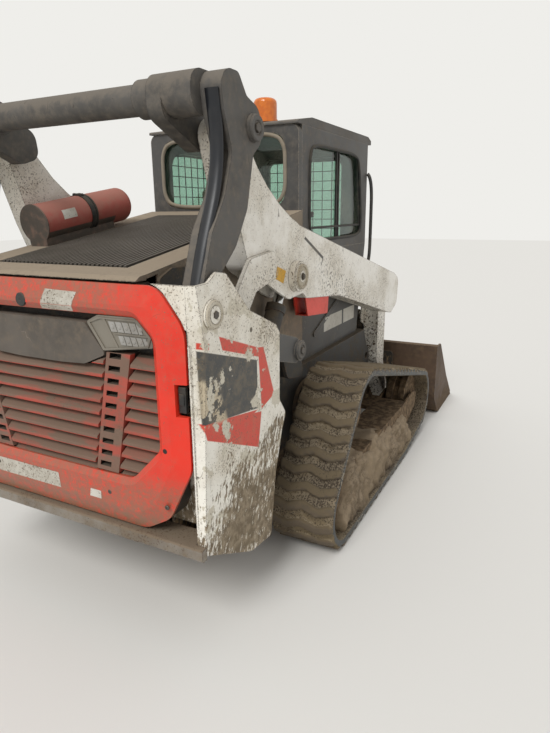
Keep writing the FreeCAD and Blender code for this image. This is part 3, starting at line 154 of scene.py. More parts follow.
PATCH_MM = 260         # broad patches, where sun and washing have changed the finish
BLOTCH_MM = 34         # blotches of settled dust
SPECK_MM = 8           # grit and spatter; real grit is finer, and is drawn this coarse so that it shows
SCRATCH_MM = 70        # distance between scratches
SCRATCH_LONG = 0.32    # scratches run up and down, about three times as long as they are apart
FLECK_MM = 16          # clots of flung mud
FLECK_LONG = 0.36      # which are drawn out along their fall
FLECK_LEAN = -0.35     # and lean back from the track, radians
EDGE_WEAR = 0.006      # how near an edge the paint chips, metres
RELIEF = 0.004         # height of the relief at full strength, metres
MUD_AT = 320           # machine x at which mud_top_mm is measured


def worn_surface(name, base, shade, dust, roughness, metallic=0.0, dust_share=0.45, settle=0.34,
                 chip="#3a332c", chip_share=0.0, speck_share=0.0, scratch_share=0.0, mud_top_mm=0.0,
                 mud_reach_mm=300.0, mud_lean=0.0, mud_most=0.34, mud="#5b4a38", mud_pale="#8a7459",
                 grain_mm=2.0, bump=0.12, coat=0.0, paint=None):
    """Finish that varies over the surface, gathers dust on its upper faces, is scratched, spattered and
    chipped, and is caked with dried mud below mud_top_mm, the more so towards the tracks with mud_lean.

    base is a hex colour or a colour that the user set. paint(tree, where, colour) may lay stripes and
    fields on the bare finish, under all that wear.
    """
    material, tree = new_material(name)
    where = add(tree, "TexCoord", output="Object")
    upward = add(tree, "SeparateXYZ", add(tree, "TexCoord", output="Normal"), output="Z")
    patches = add(tree, "TexNoise", where, per_metre(PATCH_MM), 5.0, 0.55)
    blotches = add(tree, "TexNoise", where, per_metre(BLOTCH_MM), 6.0, 0.62)
    speckle = add(tree, "TexNoise", where, per_metre(SPECK_MM), 6.0, 0.68)
    grain = add(tree, "TexNoise", where, per_metre(grain_mm), 3.0, 0.55)
    fresh = linear(base) if isinstance(base, str) else (*base, 1.0)
    faded = add(tree, "MapRange", patches, 0.38, 0.62, **SMOOTH)
    colour = add(tree, "Mix", faded, fresh, linear(shade), **COLOURS)
    if paint:
        colour = paint(tree, where, colour)

    # Dust lies thickest on upper faces and in the patches
    level = add(tree, "MapRange", upward, -0.1, 0.9, 0.0, settle, **SMOOTH)
    lying = add(tree, "Math", level, blotches, operation="ADD")
    film = add(tree, "Math", patches, 0.5, operation="ADD")
    film = add(tree, "Math", lying, film, operation="MULTIPLY")
    dusty = add(tree, "MapRange", film, 0.40, 0.82, 0.0, dust_share, **SMOOTH)
    colour = add(tree, "Mix", dusty, colour, linear(dust), **COLOURS)
    matt = add(tree, "Math", dusty, 0.6, operation="MULTIPLY")
    rough = add(tree, "Math", roughness, matt, operation="ADD")
    pitted = add(tree, "Math", blotches, 0.6, operation="MULTIPLY")
    relief = add(tree, "Math", grain, pitted, operation="ADD")

    if scratch_share:
        drawn_out = add(tree, "VectorMath", where, (1.0, 1.0, SCRATCH_LONG), operation="MULTIPLY")
        lines = add(tree, "TexNoise", drawn_out, per_metre(SCRATCH_MM), 2.0, 0.4)
        lines = add(tree, "Math", lines, 0.5, operation="SUBTRACT")
        lines = add(tree, "Math", lines, operation="ABSOLUTE")
        hair = add(tree, "MapRange", lines, 0.0035, 0.0015, **SMOOTH)
        rubbed = add(tree, "MapRange", blotches, 0.5, 0.6, 0.0, scratch_share, **SMOOTH)
        hair = add(tree, "Math", hair, rubbed, operation="MULTIPLY")
        colour = add(tree, "Mix", hair, colour, linear(chip), **COLOURS)
    if speck_share:
        spatter = add(tree, "Math", patches, 0.35, operation="MULTIPLY")
        spatter = add(tree, "Math", speckle, spatter, operation="ADD")
        least = 0.86 - 0.1 * speck_share
        spots = add(tree, "MapRange", spatter, least, least + 0.02, 0.0, 0.9, **SMOOTH)
        colour = add(tree, "Mix", spots, colour, linear(mud), **COLOURS)
    if chip_share:
        edge = add(tree, "Bevel", EDGE_WEAR, samples=4)
        true_face = add(tree, "NewGeometry", output="Normal")
        facing = add(tree, "VectorMath", edge, true_face, operation="DOT_PRODUCT")
        turned = add(tree, "Math", 1.0, facing, operation="SUBTRACT")
        turned = add(tree, "MapRange", turned, 0.01, 0.12, 0.0, 0.3, **SMOOTH)
        chips = add(tree, "Math", speckle, turned, operation="ADD")
        chips = add(tree, "MapRange", chips, 0.78 - 0.14 * chip_share, 0.84 - 0.12 * chip_share, **SMOOTH)
        colour = add(tree, "Mix", chips, colour, linear(chip), **COLOURS)
    if mud_top_mm:
        drop = along(tree, where, Vector((mud_lean, 0, -1.0)), place(MUD_AT, 0, mud_top_mm))
        drop = add(tree, "Math", drop, 0.34 * 1000 / mud_reach_mm, operation="MULTIPLY")
        drop = add(tree, "Math", drop, mud_most, operation="MINIMUM")
        leaning = add(tree, "VectorRotate", where, rotation_type="Y_AXIS", inputs={"Angle": FLECK_LEAN})
        drawn_out = add(tree, "VectorMath", leaning, (1.0, 1.0, FLECK_LONG), operation="MULTIPLY")
        flecks = add(tree, "TexNoise", drawn_out, per_metre(FLECK_MM), 7.0, 0.74)
        flecks = add(tree, "Math", flecks, 0.6, operation="MULTIPLY")
        cover = add(tree, "Math", patches, 0.4, operation="MULTIPLY")
        cover = add(tree, "Math", cover, flecks, operation="ADD")
        cover = add(tree, "Math", cover, drop, operation="ADD")
        cake = add(tree, "MapRange", cover, 0.655, 0.69, 0.0, 0.97, **SMOOTH)
        pale = add(tree, "MapRange", blotches, 0.4, 0.62, **SMOOTH)
        tone = add(tree, "Mix", pale, linear(mud), linear(mud_pale), **COLOURS)
        colour = add(tree, "Mix", cake, colour, tone, **COLOURS)
        matt = add(tree, "Math", cake, 0.5, operation="MULTIPLY")
        rough = add(tree, "Math", rough, matt, operation="ADD")
        crust = add(tree, "Math", speckle, 1.2, operation="ADD")
        crust = add(tree, "Math", cake, crust, operation="MULTIPLY")
        crust = add(tree, "Math", crust, 1.0 / max(bump, 0.1) * 0.3, operation="MULTIPLY")
        relief = add(tree, "Math", relief, crust, operation="ADD")
    bumped = add(tree, "Bump", inputs={"Strength": bump, "Distance": RELIEF, "Height": relief})
    surface = add(tree, "BsdfPrincipled", inputs={"Base Color": colour, "Roughness": rough, "Normal": bumped,
                                                  "Metallic": metallic, "Coat Weight": coat})
    add(tree, "OutputMaterial", surface)
    return material


# Fields painted on the uprights, machine x and z: a dark panel with red stripes over, beside and below it
UPRIGHT_PANEL = [(46, 1172), (400, 1061), (401, 872), (46, 925)]
UPRIGHT_STRIPES = (
    [(150, 1200), (168, 1150), (440, 1062), (452, 1092)],
    [(410, 1108), (452, 1100), (536, 890), (430, 860)],
    [(40, 930), (401, 866), (536, 890), (428, 772)],
    [(40, 930), (428, 850), (400, 712), (59, 868)],
    [(46, 1199), (92, 1188), (90, 1168), (46, 1178)],
)
TORN_CORNER = [(46, 1075), (130, 1050), (185, 900), (46, 915)]    # where the panel's film has torn off
TORN_MM = 55                           # size of the torn film's tatters
WORN_MM = 120                          # size of the patches rubbed through to the enamel
UPRIGHT_HOLE = (361, None, 1183)       # drilled hole above the panel, painted in as a near-black spot of shade


def paint_upright(tree, where, colour):
    """Striped film on the enamel, torn at one corner and rubbed through in patches, with a drilled hole in
    painted shade.
    """
    chosen = bpy.context.scene.loader_colours
    for stripe in UPRIGHT_STRIPES:
        colour = add(tree, "Mix", inside(tree, where, stripe), colour, (*chosen.stripe, 1.0), **COLOURS)
    panel = inside(tree, where, UPRIGHT_PANEL)
    colour = add(tree, "Mix", panel, colour, (*chosen.dark_panel, 1.0), **COLOURS)
    torn = add(tree, "TexNoise", where, per_metre(TORN_MM), 6.0, 0.68)
    torn = add(tree, "MapRange", torn, 0.47, 0.49, **SMOOTH)
    torn = add(tree, "Math", torn, inside(tree, where, TORN_CORNER, "side", 12.0), operation="MULTIPLY")
    colour = add(tree, "Mix", torn, colour, linear("#c3b59a"), **COLOURS)
    worn = add(tree, "TexNoise", where, per_metre(WORN_MM), 5.0, 0.6)
    worn = add(tree, "MapRange", worn, 0.56, 0.58, **SMOOTH)
    colour = add(tree, "Mix", worn, colour, linear("#cfc8b6"), **COLOURS)
    # Painted shade: the drilled hole is a near-black spot
    hole = round_spot(tree, where, UPRIGHT_HOLE, HOLE_RADIUS)
    return add(tree, "Mix", hole, colour, linear("#1b1917"), **COLOURS)


ARM_FALL = math.radians(22)            # slope of the beam towards its front
# The arm's dark slot mark and the weld seam behind its boss, machine x and z
ARM_MARKS = ([(1050, 1470), (1062, 1480), (1284, 1372), (1274, 1360)],
             [(1250, 1330), (1262, 1334), (1284, 1372), (1274, 1368)])
ARM_MIDLINE = (1300, 0, 1420)          # a point half way up the beam
ARM_CLOTS_FROM = (1080, 0, 0)          # mud is thrown at the beam ahead of this
CLOT_MM = 15


def paint_arm(tree, where, colour):
    """Dark marks, and clots of mud thrown up by the track along the lower half of the beam."""
    for mark in ARM_MARKS:
        colour = add(tree, "Mix", inside(tree, where, mark), colour, linear("#2c2a27"), **COLOURS)
    beam = Vector((math.sin(ARM_FALL), 0, math.cos(ARM_FALL)))
    low = add(tree, "MapRange", along(tree, where, -beam, place(*ARM_MIDLINE)), -0.06, 0.12, **SMOOTH)
    low = add(tree, "Math", low, 0.09, operation="MULTIPLY")
    ahead = add(tree, "MapRange", along(tree, where, AHEAD, place(*ARM_CLOTS_FROM)), 0.0, 0.35, **SMOOTH)
    clots = add(tree, "TexNoise", where, per_metre(CLOT_MM), 5.0, 0.6)
    clots = add(tree, "Math", clots, low, operation="ADD")
    clots = add(tree, "MapRange", clots, 0.645, 0.66, **SMOOTH)
    clots = add(tree, "Math", clots, ahead, operation="MULTIPLY")
    return add(tree, "Mix", clots, colour, linear("#57493a"), **COLOURS)


# Field of the slots in the grille's two leaning bars, |y| and z seen from behind
SLOT_FIELD = [(241, 684), (295, 684), (395, 1141), (341, 1141)]
BAR_FACE = (28, 0, 0)                  # on the bars' rear face
LOUVRE_SHADE_FROM = (51, 0, 0)               # where painted shade, near black, starts in the gaps between the louvres
NOSE_MM = 60                           # length of the dusty stretches along a louvre


def paint_grille(tree, where, colour):
    """Louvres brown with dust, bare only along their lower noses, with painted shade, near black, in the gaps
    and slots.
    """
    drawn_out = add(tree, "VectorMath", where, (1.0, 0.25, 1.0), operation="MULTIPLY")
    nose = add(tree, "TexNoise", drawn_out, per_metre(NOSE_MM), 4.0, 0.55)
    nose = add(tree, "MapRange", nose, 0.42, 0.58, **SMOOTH)
    nose = add(tree, "Math", nose, 0.55, operation="ADD")
    upward = add(tree, "SeparateXYZ", add(tree, "TexCoord", output="Normal"), output="Z")
    lit = add(tree, "MapRange", upward, -0.55, 0.35, **SMOOTH)
    share = add(tree, "Math", lit, nose, operation="MULTIPLY")
    share = add(tree, "Math", share, 0.92, operation="MINIMUM")
    dusted = add(tree, "Mix", share, colour, linear("#6f5f50"), **COLOURS)
    # Painted shade, near black, deep in the gaps between the louvres and in the slots of the bars
    back = add(tree, "MapRange", along(tree, where, AHEAD, place(*LOUVRE_SHADE_FROM)), 0.0, 0.004, **SMOOTH)
    folded = add(tree, "VectorMath", where, operation="ABSOLUTE")
    sunk = add(tree, "MapRange", along(tree, where, AHEAD, place(*BAR_FACE)), 0.001, 0.003, **SMOOTH)
    slots = inside(tree, folded, SLOT_FIELD, "behind", 1.0)
    slots = add(tree, "Math", slots, sunk, operation="MULTIPLY")
    dark = add(tree, "Math", back, slots, operation="MAXIMUM")
    return add(tree, "Mix", dark, dusted, linear("#14110f"), **COLOURS)


GATE_HOLE = (None, -568, 824)          # drilled hole in the gate's lower corner, seen from behind, painted in as a near-black spot of shade
HOLE_RADIUS = 9
GATE_LOW_BAR = (0, 0, 760)             # top of the gate's bottom bar
GATE_RIM = (0, 0, 640)                 # mud is caked below this
FILM_MM = 22
CAKE_MM = 30


def paint_gate(tree, where, colour):
    """Faded and dusty along the top and bottom bars, bright up the side bevels, with a drilled hole in painted
    shade.
    """
    middle = add(tree, "Math", along(tree, where, LEFTWARD, place(0, 0, 0)), operation="ABSOLUTE")
    middle = add(tree, "MapRange", middle, 0.58, 0.30, **SMOOTH)
    low = add(tree, "MapRange", along(tree, where, DOWN, place(*GATE_LOW_BAR)), 0.0, 0.12, **SMOOTH)
    share = add(tree, "Math", middle, low, operation="MAXIMUM")
    film = add(tree, "TexNoise", where, per_metre(FILM_MM), 8.0, 0.78)
    film = add(tree, "MapRange", film, 0.28, 0.58, 0.0, 0.86, **SMOOTH)
    share = add(tree, "Math", share, film, operation="MULTIPLY")
    dusted = add(tree, "Mix", share, colour, linear("#93614c"), **COLOURS)
    rim = add(tree, "MapRange", along(tree, where, DOWN, place(*GATE_RIM)), 0.0, 0.13, 0.0, 0.85, **SMOOTH)
    caked = add(tree, "TexNoise", where, per_metre(CAKE_MM), 8.0, 0.75)
    caked = add(tree, "MapRange", caked, 0.36, 0.60, **SMOOTH)
    caked = add(tree, "Math", rim, caked, operation="MULTIPLY")
    dusted = add(tree, "Mix", caked, dusted, linear("#7f6650"), **COLOURS)
    # Painted shade: the drilled hole is a near-black spot
    hole = round_spot(tree, where, GATE_HOLE, HOLE_RADIUS)
    return add(tree, "Mix", hole, dusted, linear("#16120f"), **COLOURS)


HOOD_RISE = math.radians(9.3)
LENGTHWISE = Vector((math.cos(HOOD_RISE), 0, math.sin(HOOD_RISE)))    # up along the hood
RISING = Vector((-math.sin(HOOD_RISE), 0, math.cos(HOOD_RISE)))       # square to the hood
BOTTLE_FOOT = (420.0, 394.7, 1395.0 + 360.0 * math.tan(HOOD_RISE))    # under the bottle's rear end
BOTTLE_RADIUS = 82.0
BOTTLE_LIFT = 96.0                     # height of the bottle's middle over its foot
TRAY_HEIGHT = 0.060                    # of the cradle's tray, metres square to the hood
TRAY_LENGTH = 0.4245                   # of the tray, metres along the hood


def paint_bottle(tree, where, colour):
    """The cradle's end plate and tray are dark, the bottle faded red."""
    foot = place(*BOTTLE_FOOT)
    reach = along(tree, where, LENGTHWISE, foot)
    height = along(tree, where, RISING, foot)
    end_plate = add(tree, "MapRange", reach, 0.0015, 0.0, **SMOOTH)
    tray = add(tree, "MapRange", height, TRAY_HEIGHT + 0.002, TRAY_HEIGHT - 0.002, **SMOOTH)
    length = add(tree, "MapRange", reach, TRAY_LENGTH + 0.0015, TRAY_LENGTH - 0.0015, **SMOOTH)
    tray = add(tree, "Math", tray, length, operation="MULTIPLY")
    dark = add(tree, "Math", end_plate, tray, operation="MAXIMUM")
    return add(tree, "Mix", dark, colour, linear("#4b443c"), **COLOURS)


def paint_screen(tree, where, colour):
    """Painted shade: the gaps between the ribs of the hood's screen turn near black the deeper they lie below
    the ribs' tops.
    """
    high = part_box("hood_screen")[1]
    depth = along(tree, where, RISING, Vector((high[0], 0, high[2])))
    # Painted shade, deeper gaps darker
    gap_shade = add(tree, "MapRange", depth, -0.002, -0.006, **SMOOTH)
    return add(tree, "Mix", gap_shade, colour, linear("#0d0c0b"), **COLOURS)


def clear_pane(name, tint, film_share):
    """Tinted safety glass: thin, so light passes straight through it, with a mirror sheen and a film."""
    material, tree = new_material(name)
    where = add(tree, "TexCoord", output="Object")
    film = add(tree, "TexNoise", where, per_metre(180), 6.0, 0.6)
    film = add(tree, "MapRange", film, 0.35, 0.75, 0.0, film_share, **SMOOTH)
    passing = add(tree, "BsdfTransparent", linear(tint))
    sheen = add(tree, "BsdfPrincipled", inputs={"Base Color": linear("#f2f5f4"), "Roughness": 0.03,
                                                "Metallic": 1.0})
    grime = add(tree, "BsdfDiffuse", linear("#c9c2b0"))
    glancing = add(tree, "LayerWeight", 0.5, output="Facing")
    rim = add(tree, "Math", glancing, 4.0, operation="POWER")
    rim = add(tree, "Math", rim, 0.45, operation="MULTIPLY")
    rim = add(tree, "Math", rim, 0.04, operation="ADD")
    pane = add(tree, "MixShader", rim, passing, sheen)
    dusty = add(tree, "MixShader", film, pane, grime)
    add(tree, "OutputMaterial", dusty)
    return material


def amber_lens(name):
    """Moulded amber polycarbonate of a warning beacon: glossy, lit from within and a little uneven."""
    material, tree = new_material(name)
    where = add(tree, "TexCoord", output="Object")
    uneven = add(tree, "TexNoise", where, per_metre(30), 4.0, 0.55)
    uneven = add(tree, "MapRange", uneven, 0.4, 0.6, **SMOOTH)
    tone = add(tree, "Mix", uneven, linear("#f0811c"), linear("#e27216"), **COLOURS)
    surface = add(tree, "BsdfPrincipled", inputs={"Base Color": tone, "Roughness": 0.2, "IOR": 1.58,
                                                  "Transmission Weight": 0.2})
    add(tree, "OutputMaterial", surface)
    return material


def make_finishes(chosen):
    """Every finish of the machine, by its short name. chosen: the colours that the user set."""
    return {
        # Two-pack enamel sprayed on steel: satin off-white, scratched, chipped to primer, splashed with mud
        "upright": worn_surface("cream_enamel_splashed", chosen.upright_enamel, "#dfd8c9", "#a3937a", 0.40,
                                dust_share=0.35, chip_share=0.7, chip="#4a4037", speck_share=0.9,
                                scratch_share=0.9,
                                mud_top_mm=850, mud_reach_mm=280, mud_lean=0.26, mud_most=0.195, mud="#6a5b45",
                                mud_pale="#90816a", coat=0.1, paint=paint_upright),
        # The same enamel higher up: cleaner, with chips along its edges and clots from the track
        "arm": worn_surface("cream_enamel_arm", chosen.arm_enamel, "#e0dacd", "#ab9d84", 0.40, dust_share=0.30,
                            chip_share=0.85, chip="#54483c", speck_share=0.8, scratch_share=0.8, coat=0.1,
                            paint=paint_arm),
        # Charcoal enamel on pressed steel: a dull sheen under a film of dust
        "charcoal": worn_surface("charcoal_enamel_dusty", "#4a4947", "#3d3b39", "#857b6d", 0.5,
                                 dust_share=0.32, chip_share=0.35, chip="#8f8576", scratch_share=0.5),
        # Charcoal enamel that lies under so much dust that it reads as grey brown, and is nearly matt
        "link": worn_surface("link_enamel_dust_coated", "#56534f", "#474440", "#80776b", 0.58,
                             dust_share=0.6, chip_share=0.5, chip="#332f2b", scratch_share=0.6, bump=0.2),
        # Enamel of the hood, quite covered: pale, matt and patchy
        "hood": worn_surface("hood_enamel_dust_coated", "#857867", "#6f6457", "#9c8d79", 0.7,
                             dust_share=0.85, chip_share=0.5, chip="#3f3a33"),
        # Black chassis enamel on welded plate: dark above and caked with mud near the tracks
        "dark": worn_surface("chassis_black_enamel", "#2b2a28", "#232220", "#6d5f4b", 0.55,
                             dust_share=0.55, chip_share=0.3, chip="#6a5440", mud_top_mm=620,
                             mud_reach_mm=420, speck_share=0.5),
        # Rotation-moulded polyethylene, coloured through: bright and waxy, with a fine pebbled skin
        "orange": worn_surface("orange_polyethylene_moulded", chosen.moulded_panel, "#dd301c", "#a8775c", 0.33,
                               dust_share=0.2, grain_mm=1.4, bump=0.05, settle=0.2, scratch_share=0.5,
                               chip="#8f3a2c", speck_share=0.5, mud="#7b6552", paint=paint_gate),
        # The same plastic in louvres, which hold the dust that the fan draws in: brown and matt, with painted
        # shade in the gaps and slots
        "grille": worn_surface("orange_polyethylene_louvres", "#c9402f", "#b53a2b", "#6f6152", 0.6,
                                dust_share=0.55,
                               settle=0.5, speck_share=0.4, mud="#5d4f42", paint=paint_grille),
        # Orange enamel on a steel plate out of the sun: the cleanest and brightest colour of the machine
        "support": worn_surface("orange_enamel_bright", "#e5402c", "#d93a26", "#93604c", 0.4, dust_share=0.3,
                                chip_share=0.6, speck_share=0.5),
        # Moulded ABS of the blank badge: smooth, flat grey under dust, with hairline scratches
        "badge": worn_surface("charcoal_abs_badge_moulded", "#5d564e", "#4c463f", "#766b5e", 0.6, dust_share=0.7,
                              scratch_share=0.5, chip="#8b8175"),
        # Hot-rolled steel scoured by soil: brown rust with dull metal showing through, and earth low down
        "steel": worn_surface("bucket_steel_rusty", "#5b4839", "#46382e", "#7d6850", 0.62, metallic=0.35,
                              dust_share=0.6, chip_share=0.3, chip="#8e8377", bump=0.3, mud_top_mm=260,
                              mud="#5b4a39", mud_pale="#6d5b47"),
        # Steel bumper with its paint scuffed off: pale grazes, dark chips and dried spatter
        "bumper": worn_surface("bumper_steel_scuffed", "#8d857a", "#746c62", "#85745f", 0.5, metallic=0.3,
                               dust_share=0.75, chip_share=0.6, chip="#4d4136", speck_share=0.9, settle=0.6),
        # Sand-cast iron of wheels and sprockets: coarse skin, dark, packed with dried mud
        "iron": worn_surface("cast_iron_muddy", "#4b453f", "#3a3530", "#7d6950", 0.7, metallic=0.2,
                             dust_share=0.7, mud_top_mm=700, mud_reach_mm=200, bump=0.4),
        # Vulcanised rubber of the lugs: matt, coarse and browned by the mud rubbed into it
        "rubber": worn_surface("track_rubber_muddy", "#5e5242", "#51473a", "#76684f", 0.7, dust_share=0.5,
                               grain_mm=4, bump=0.35, speck_share=0.4, mud="#3f372c"),
        # Dried mud between the lugs: pale, cracked and quite without sheen
        "tread_mud": worn_surface("tread_mud_dry", "#75674f", "#51463a", "#978a74", 0.95, dust_share=0.5,
                                  grain_mm=8, bump=1.0, speck_share=1.6, mud="#3a3127"),
        # Vulcanised rubber of the belt's flanks, rubbed bare by the ground: dark, with pale clay spatter
        "flank": worn_surface("belt_flank_rubber_wiped", "#3b3e3e", "#313333", "#7a6f5e", 0.5, dust_share=0.3,
                              speck_share=0.9, mud="#a99d87", grain_mm=3, bump=0.2),
        # Clay dried into lumps between the rollers: pale crust with darker damp spots
        "clay": worn_surface("dried_clay", "#8f7e66", "#6f604c", "#a39179", 0.95, dust_share=0.7, grain_mm=9,
                             bump=1.0, speck_share=0.6, mud="#4a3e31"),
        # Injection-moulded nylon of latches, rails and consoles: dark with a soft sheen
        "black": worn_surface("black_moulded_nylon", "#2a2a29", "#212120", "#6f6656", 0.5, dust_share=0.35),
        # Moulded nylon ribs of the hood's screen: grey with dust on top, with painted shade, near black, in the
        # gaps
        "screen": worn_surface("hood_screen_nylon", "#57514a", "#49443d", "#7d7263", 0.6, dust_share=0.22,
                               paint=paint_screen),
        # Red enamel of the extinguisher, bleached by the sun to a chalky brick colour
        "red": worn_surface("extinguisher_enamel_faded", "#a6554a", "#93463c", "#9c7a69", 0.5, dust_share=0.5,
                            settle=0.4, chip_share=0.3, chip="#6f6158", paint=paint_bottle),
        # Moulded polycarbonate of the lamps: glossy and hard, greyed by dust behind and before it
        "lens": worn_surface("lamp_polycarbonate", "#a3a19b", "#84817b", "#8f8675", 0.16, dust_share=0.3,
                             grain_mm=6, bump=0.1, coat=0.5),
        # Moulded ABS round the lamps: mid grey, smooth and dusty
        "housing": worn_surface("lamp_housing_grey", "#807a6e", "#6b665c", "#7d7363", 0.4, dust_share=0.4),
        # Hard-chromed and ground steel rod: a bright mirror with a trace of oily dust
        "chrome": worn_surface("steel_rod_hard_chromed", "#d4d6d7", "#c3c5c6", "#9c927f", 0.12, metallic=1.0,
                               dust_share=0.12, bump=0.02),
        # Embossed vinyl of the seat: black, leathery grain, a little shine on the swell
        "vinyl": worn_surface("seat_vinyl_black", "#2b2a29", "#222120", "#6c6354", 0.5, dust_share=0.3,
                              grain_mm=3, bump=0.3),
        # Extruded rubber over the hoses: blue black, smooth enough to catch a long highlight
        "hose": worn_surface("hose_sleeve_rubber", "#10141b", "#0c0f15", "#4d4a45", 0.36, dust_share=0.1,
                             grain_mm=3, bump=0.05),
        # Extruded rubber round the panes: flat black line
        "seal": worn_surface("window_seal_rubber", "#1f1f1e", "#171716", "#6b6252", 0.6, dust_share=0.35),
        # The same rubber round the rear window, under a coat of dust that turns it tan
        "tan_seal": worn_surface("rear_seal_rubber_dusty", "#8a8172", "#746b5d", "#9d907c", 0.7,
                                 dust_share=0.6),
        # Zinc-plated steel bolt, weathered: dull grey with a metal's glint on its edges
        "zinc": worn_surface("zinc_plated_bolt", "#5a5550", "#47433e", "#6f6350", 0.4, metallic=0.6,
                             dust_share=0.4, bump=0.05),
        # Enamelled boss ring, worn through where it rubs: cream with dark chips
        "ring": worn_surface("boss_ring_worn", "#cbc4b4", "#b2a893", "#9a8b73", 0.5, dust_share=0.4,
                             chip_share=0.8, chip="#5d5145", speck_share=0.6),
        # Printed vinyl film, left blank: flat yellow, duller than enamel
        "yellow": worn_surface("label_vinyl_yellow", "#e3ae2a", "#d39f22", "#a08a5c", 0.4, dust_share=0.3,
                               speck_share=0.5),
        # Pale vinyl film: chalky, and spattered with mud
        "label": worn_surface("label_vinyl_pale", "#cfcbc0", "#bcb7aa", "#94897a", 0.5, dust_share=0.45,
                              speck_share=0.9, mud="#6b5d4e"),
        # Toughened and tinted glass: a green cast, a mirror sheen at a slant and a faint film
        "glass": clear_pane("tinted_safety_glass", "#dcebe4", 0.08),
        # Moulded amber polycarbonate: the one saturated and glowing spot on the roof
        "amber": amber_lens("amber_polycarbonate"),
    }


# The frame's nodes by their finish
FINISH_NODES = {
    "dark": ("main_frame", "frame_pivots", "cooler", "lift_barrels", "tilt_barrels", "coupler",
             "cab_floor", "tailgate_inner_frame"),
    "upright": ("upright_left", "upright_right"),
    "bumper": ("rear_bumper",),
    "iron": ("engine_block", "track_frames", "sprockets", "final_drives", "idlers", "rollers"),
    "rubber": ("track_left", "track_right"),
    "arm": ("lift_arm_left", "lift_arm_right", "arm_cross_tube"),
    "support": ("arm_support",),
    "link": ("rear_link_left", "rear_link_right", "link_cross_tube", "cab_roof"),
    "charcoal": ("control_links", "cab_side_left", "cab_side_right", "cab_lower_panels",
                 "cab_rear_wall", "cab_front_frame", "cab_door"),
    "chrome": ("lift_rods", "tilt_rods"),
    "steel": ("bucket",),
    "glass": ("cab_glass", "door_glass"),
    "vinyl": ("seat",),
    "black": ("consoles",),
    "amber": ("beacon",),
    "hood": ("hood_frame",),
    "screen": ("hood_screen",),
    "red": ("extinguisher",),
    "orange": ("tailgate_frame",),
    "grille": ("tailgate_grille",),
    "badge": ("badge_panel",),
    "housing": ("tail_lamps",),
}


# Camera, fitted to the photograph's view
FOCAL_PIXELS = 557.1
FRAME_PIXELS = 733                     # height of the photograph
SENSOR_MM = 36.0
CAMERA_AT = (-3.154, -1.687, 1.591)    # metres in the frame
CAMERA_PITCH = math.radians(15.52)
CAMERA_YAW = math.radians(27.469)
CAMERA_ROLL = math.radians(-0.543)


def make_camera():
    """The photograph's camera: where it stood, and how far it looked down, to the left and askew."""
    ahead = Vector((math.cos(CAMERA_YAW), math.sin(CAMERA_YAW), 0))
    right = Vector((math.sin(CAMERA_YAW), -math.cos(CAMERA_YAW), 0))
    forward = ahead * math.cos(CAMERA_PITCH) - Vector((0, 0, math.sin(CAMERA_PITCH)))
    above = ahead * math.sin(CAMERA_PITCH) + Vector((0, 0, math.cos(CAMERA_PITCH)))
    rolled_right = right * math.cos(CAMERA_ROLL) + above * math.sin(CAMERA_ROLL)
    rolled_above = above * math.cos(CAMERA_ROLL) - right * math.sin(CAMERA_ROLL)
    lens = bpy.data.cameras.new("photo_view")
    lens.sensor_fit = "VERTICAL"
    lens.sensor_height = SENSOR_MM
    lens.lens = FOCAL_PIXELS / FRAME_PIXELS * SENSOR_MM
    camera = bpy.data.objects.new("photo_view", lens)
    bpy.context.scene.collection.objects.link(camera)
    turn = Matrix((rolled_right, rolled_above, -forward)).transposed().to_4x4()
    camera.matrix_world = Matrix.Translation(CAMERA_AT) @ turn
    bpy.context.scene.camera = camera


FLOOR_SIZE = 60.0                      # metres
SUN_WIDTH = math.radians(24)
SUN_TURN = (math.radians(38), math.radians(-22), math.radians(-62))


def make_studio(settings):
    """Pale floor, even sky and one soft lamp."""
    bpy.context.scene.view_settings.view_transform = "Standard"
    bpy.ops.mesh.primitive_plane_add(size=FLOOR_SIZE)
    floor = bpy.context.object
    floor.name = "studio_floor"
    # Matt floor paint: even and pale, so that shadows are soft and nothing is mirrored
    material, tree = new_material("studio_floor_paint")
    paint = add(tree, "BsdfDiffuse", linear("#e4e2dd"))
    add(tree, "OutputMaterial", paint)
    floor.data.materials.append(material)
    world = bpy.data.worlds.new("studio_sky")
    bpy.context.scene.world = world
    world.use_nodes = True
    tree = world.node_tree
    tree.nodes.clear()
    # White light on the machine, and a pale backdrop to the eye, in mirrors and through glass
    seen = add(tree, "LightPath", output="Is Camera Ray")
    for ray in ("Is Glossy Ray", "Is Transmission Ray"):
        seen = add(tree, "Math", seen, add(tree, "LightPath", output=ray), operation="MAXIMUM")
    plain = add(tree, "Background", linear("#ffffff"), settings.sky_strength)
    pale = add(tree, "Background", linear("#efeeea"), 1.0)
    shown = add(tree, "MixShader", seen, plain, pale)
    add(tree, "OutputWorld", shown)
    lamp = bpy.data.lights.new("studio_sun", "SUN")
    lamp.energy = settings.sun_strength
    lamp.angle = SUN_WIDTH
    sun = bpy.data.objects.new("studio_sun", lamp)
    sun.rotation_euler = SUN_TURN
    bpy.context.scene.collection.objects.link(sun)


# Mesh helpers

def as_object(name, mesh_source, finish, body, smooth=False):
    """Turns a finished bmesh into a piece with its finish, on its body."""
    mesh = bpy.data.meshes.new(name)
    mesh_source.normal_update()
    mesh_source.to_mesh(mesh)
    mesh_source.free()
    for polygon in mesh.polygons:
        polygon.use_smooth = smooth
    piece = bpy.data.objects.new(name, mesh)
    bpy.context.scene.collection.objects.link(piece)
    piece.data.materials.append(FINISHES[finish])
    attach(piece, body)
    return piece


def evaluated_mesh(piece):
    """The mesh of a piece with its modifiers applied."""
    bpy.context.view_layer.update()
    graph = bpy.context.evaluated_depsgraph_get()
    return bpy.data.meshes.new_from_object(piece.evaluated_get(graph))


def turned_to(axis):
    """Turns a shape that stands along z so that it stands along axis."""
    return Vector(axis).normalized().to_track_quat("Z", "Y").to_matrix().to_4x4()


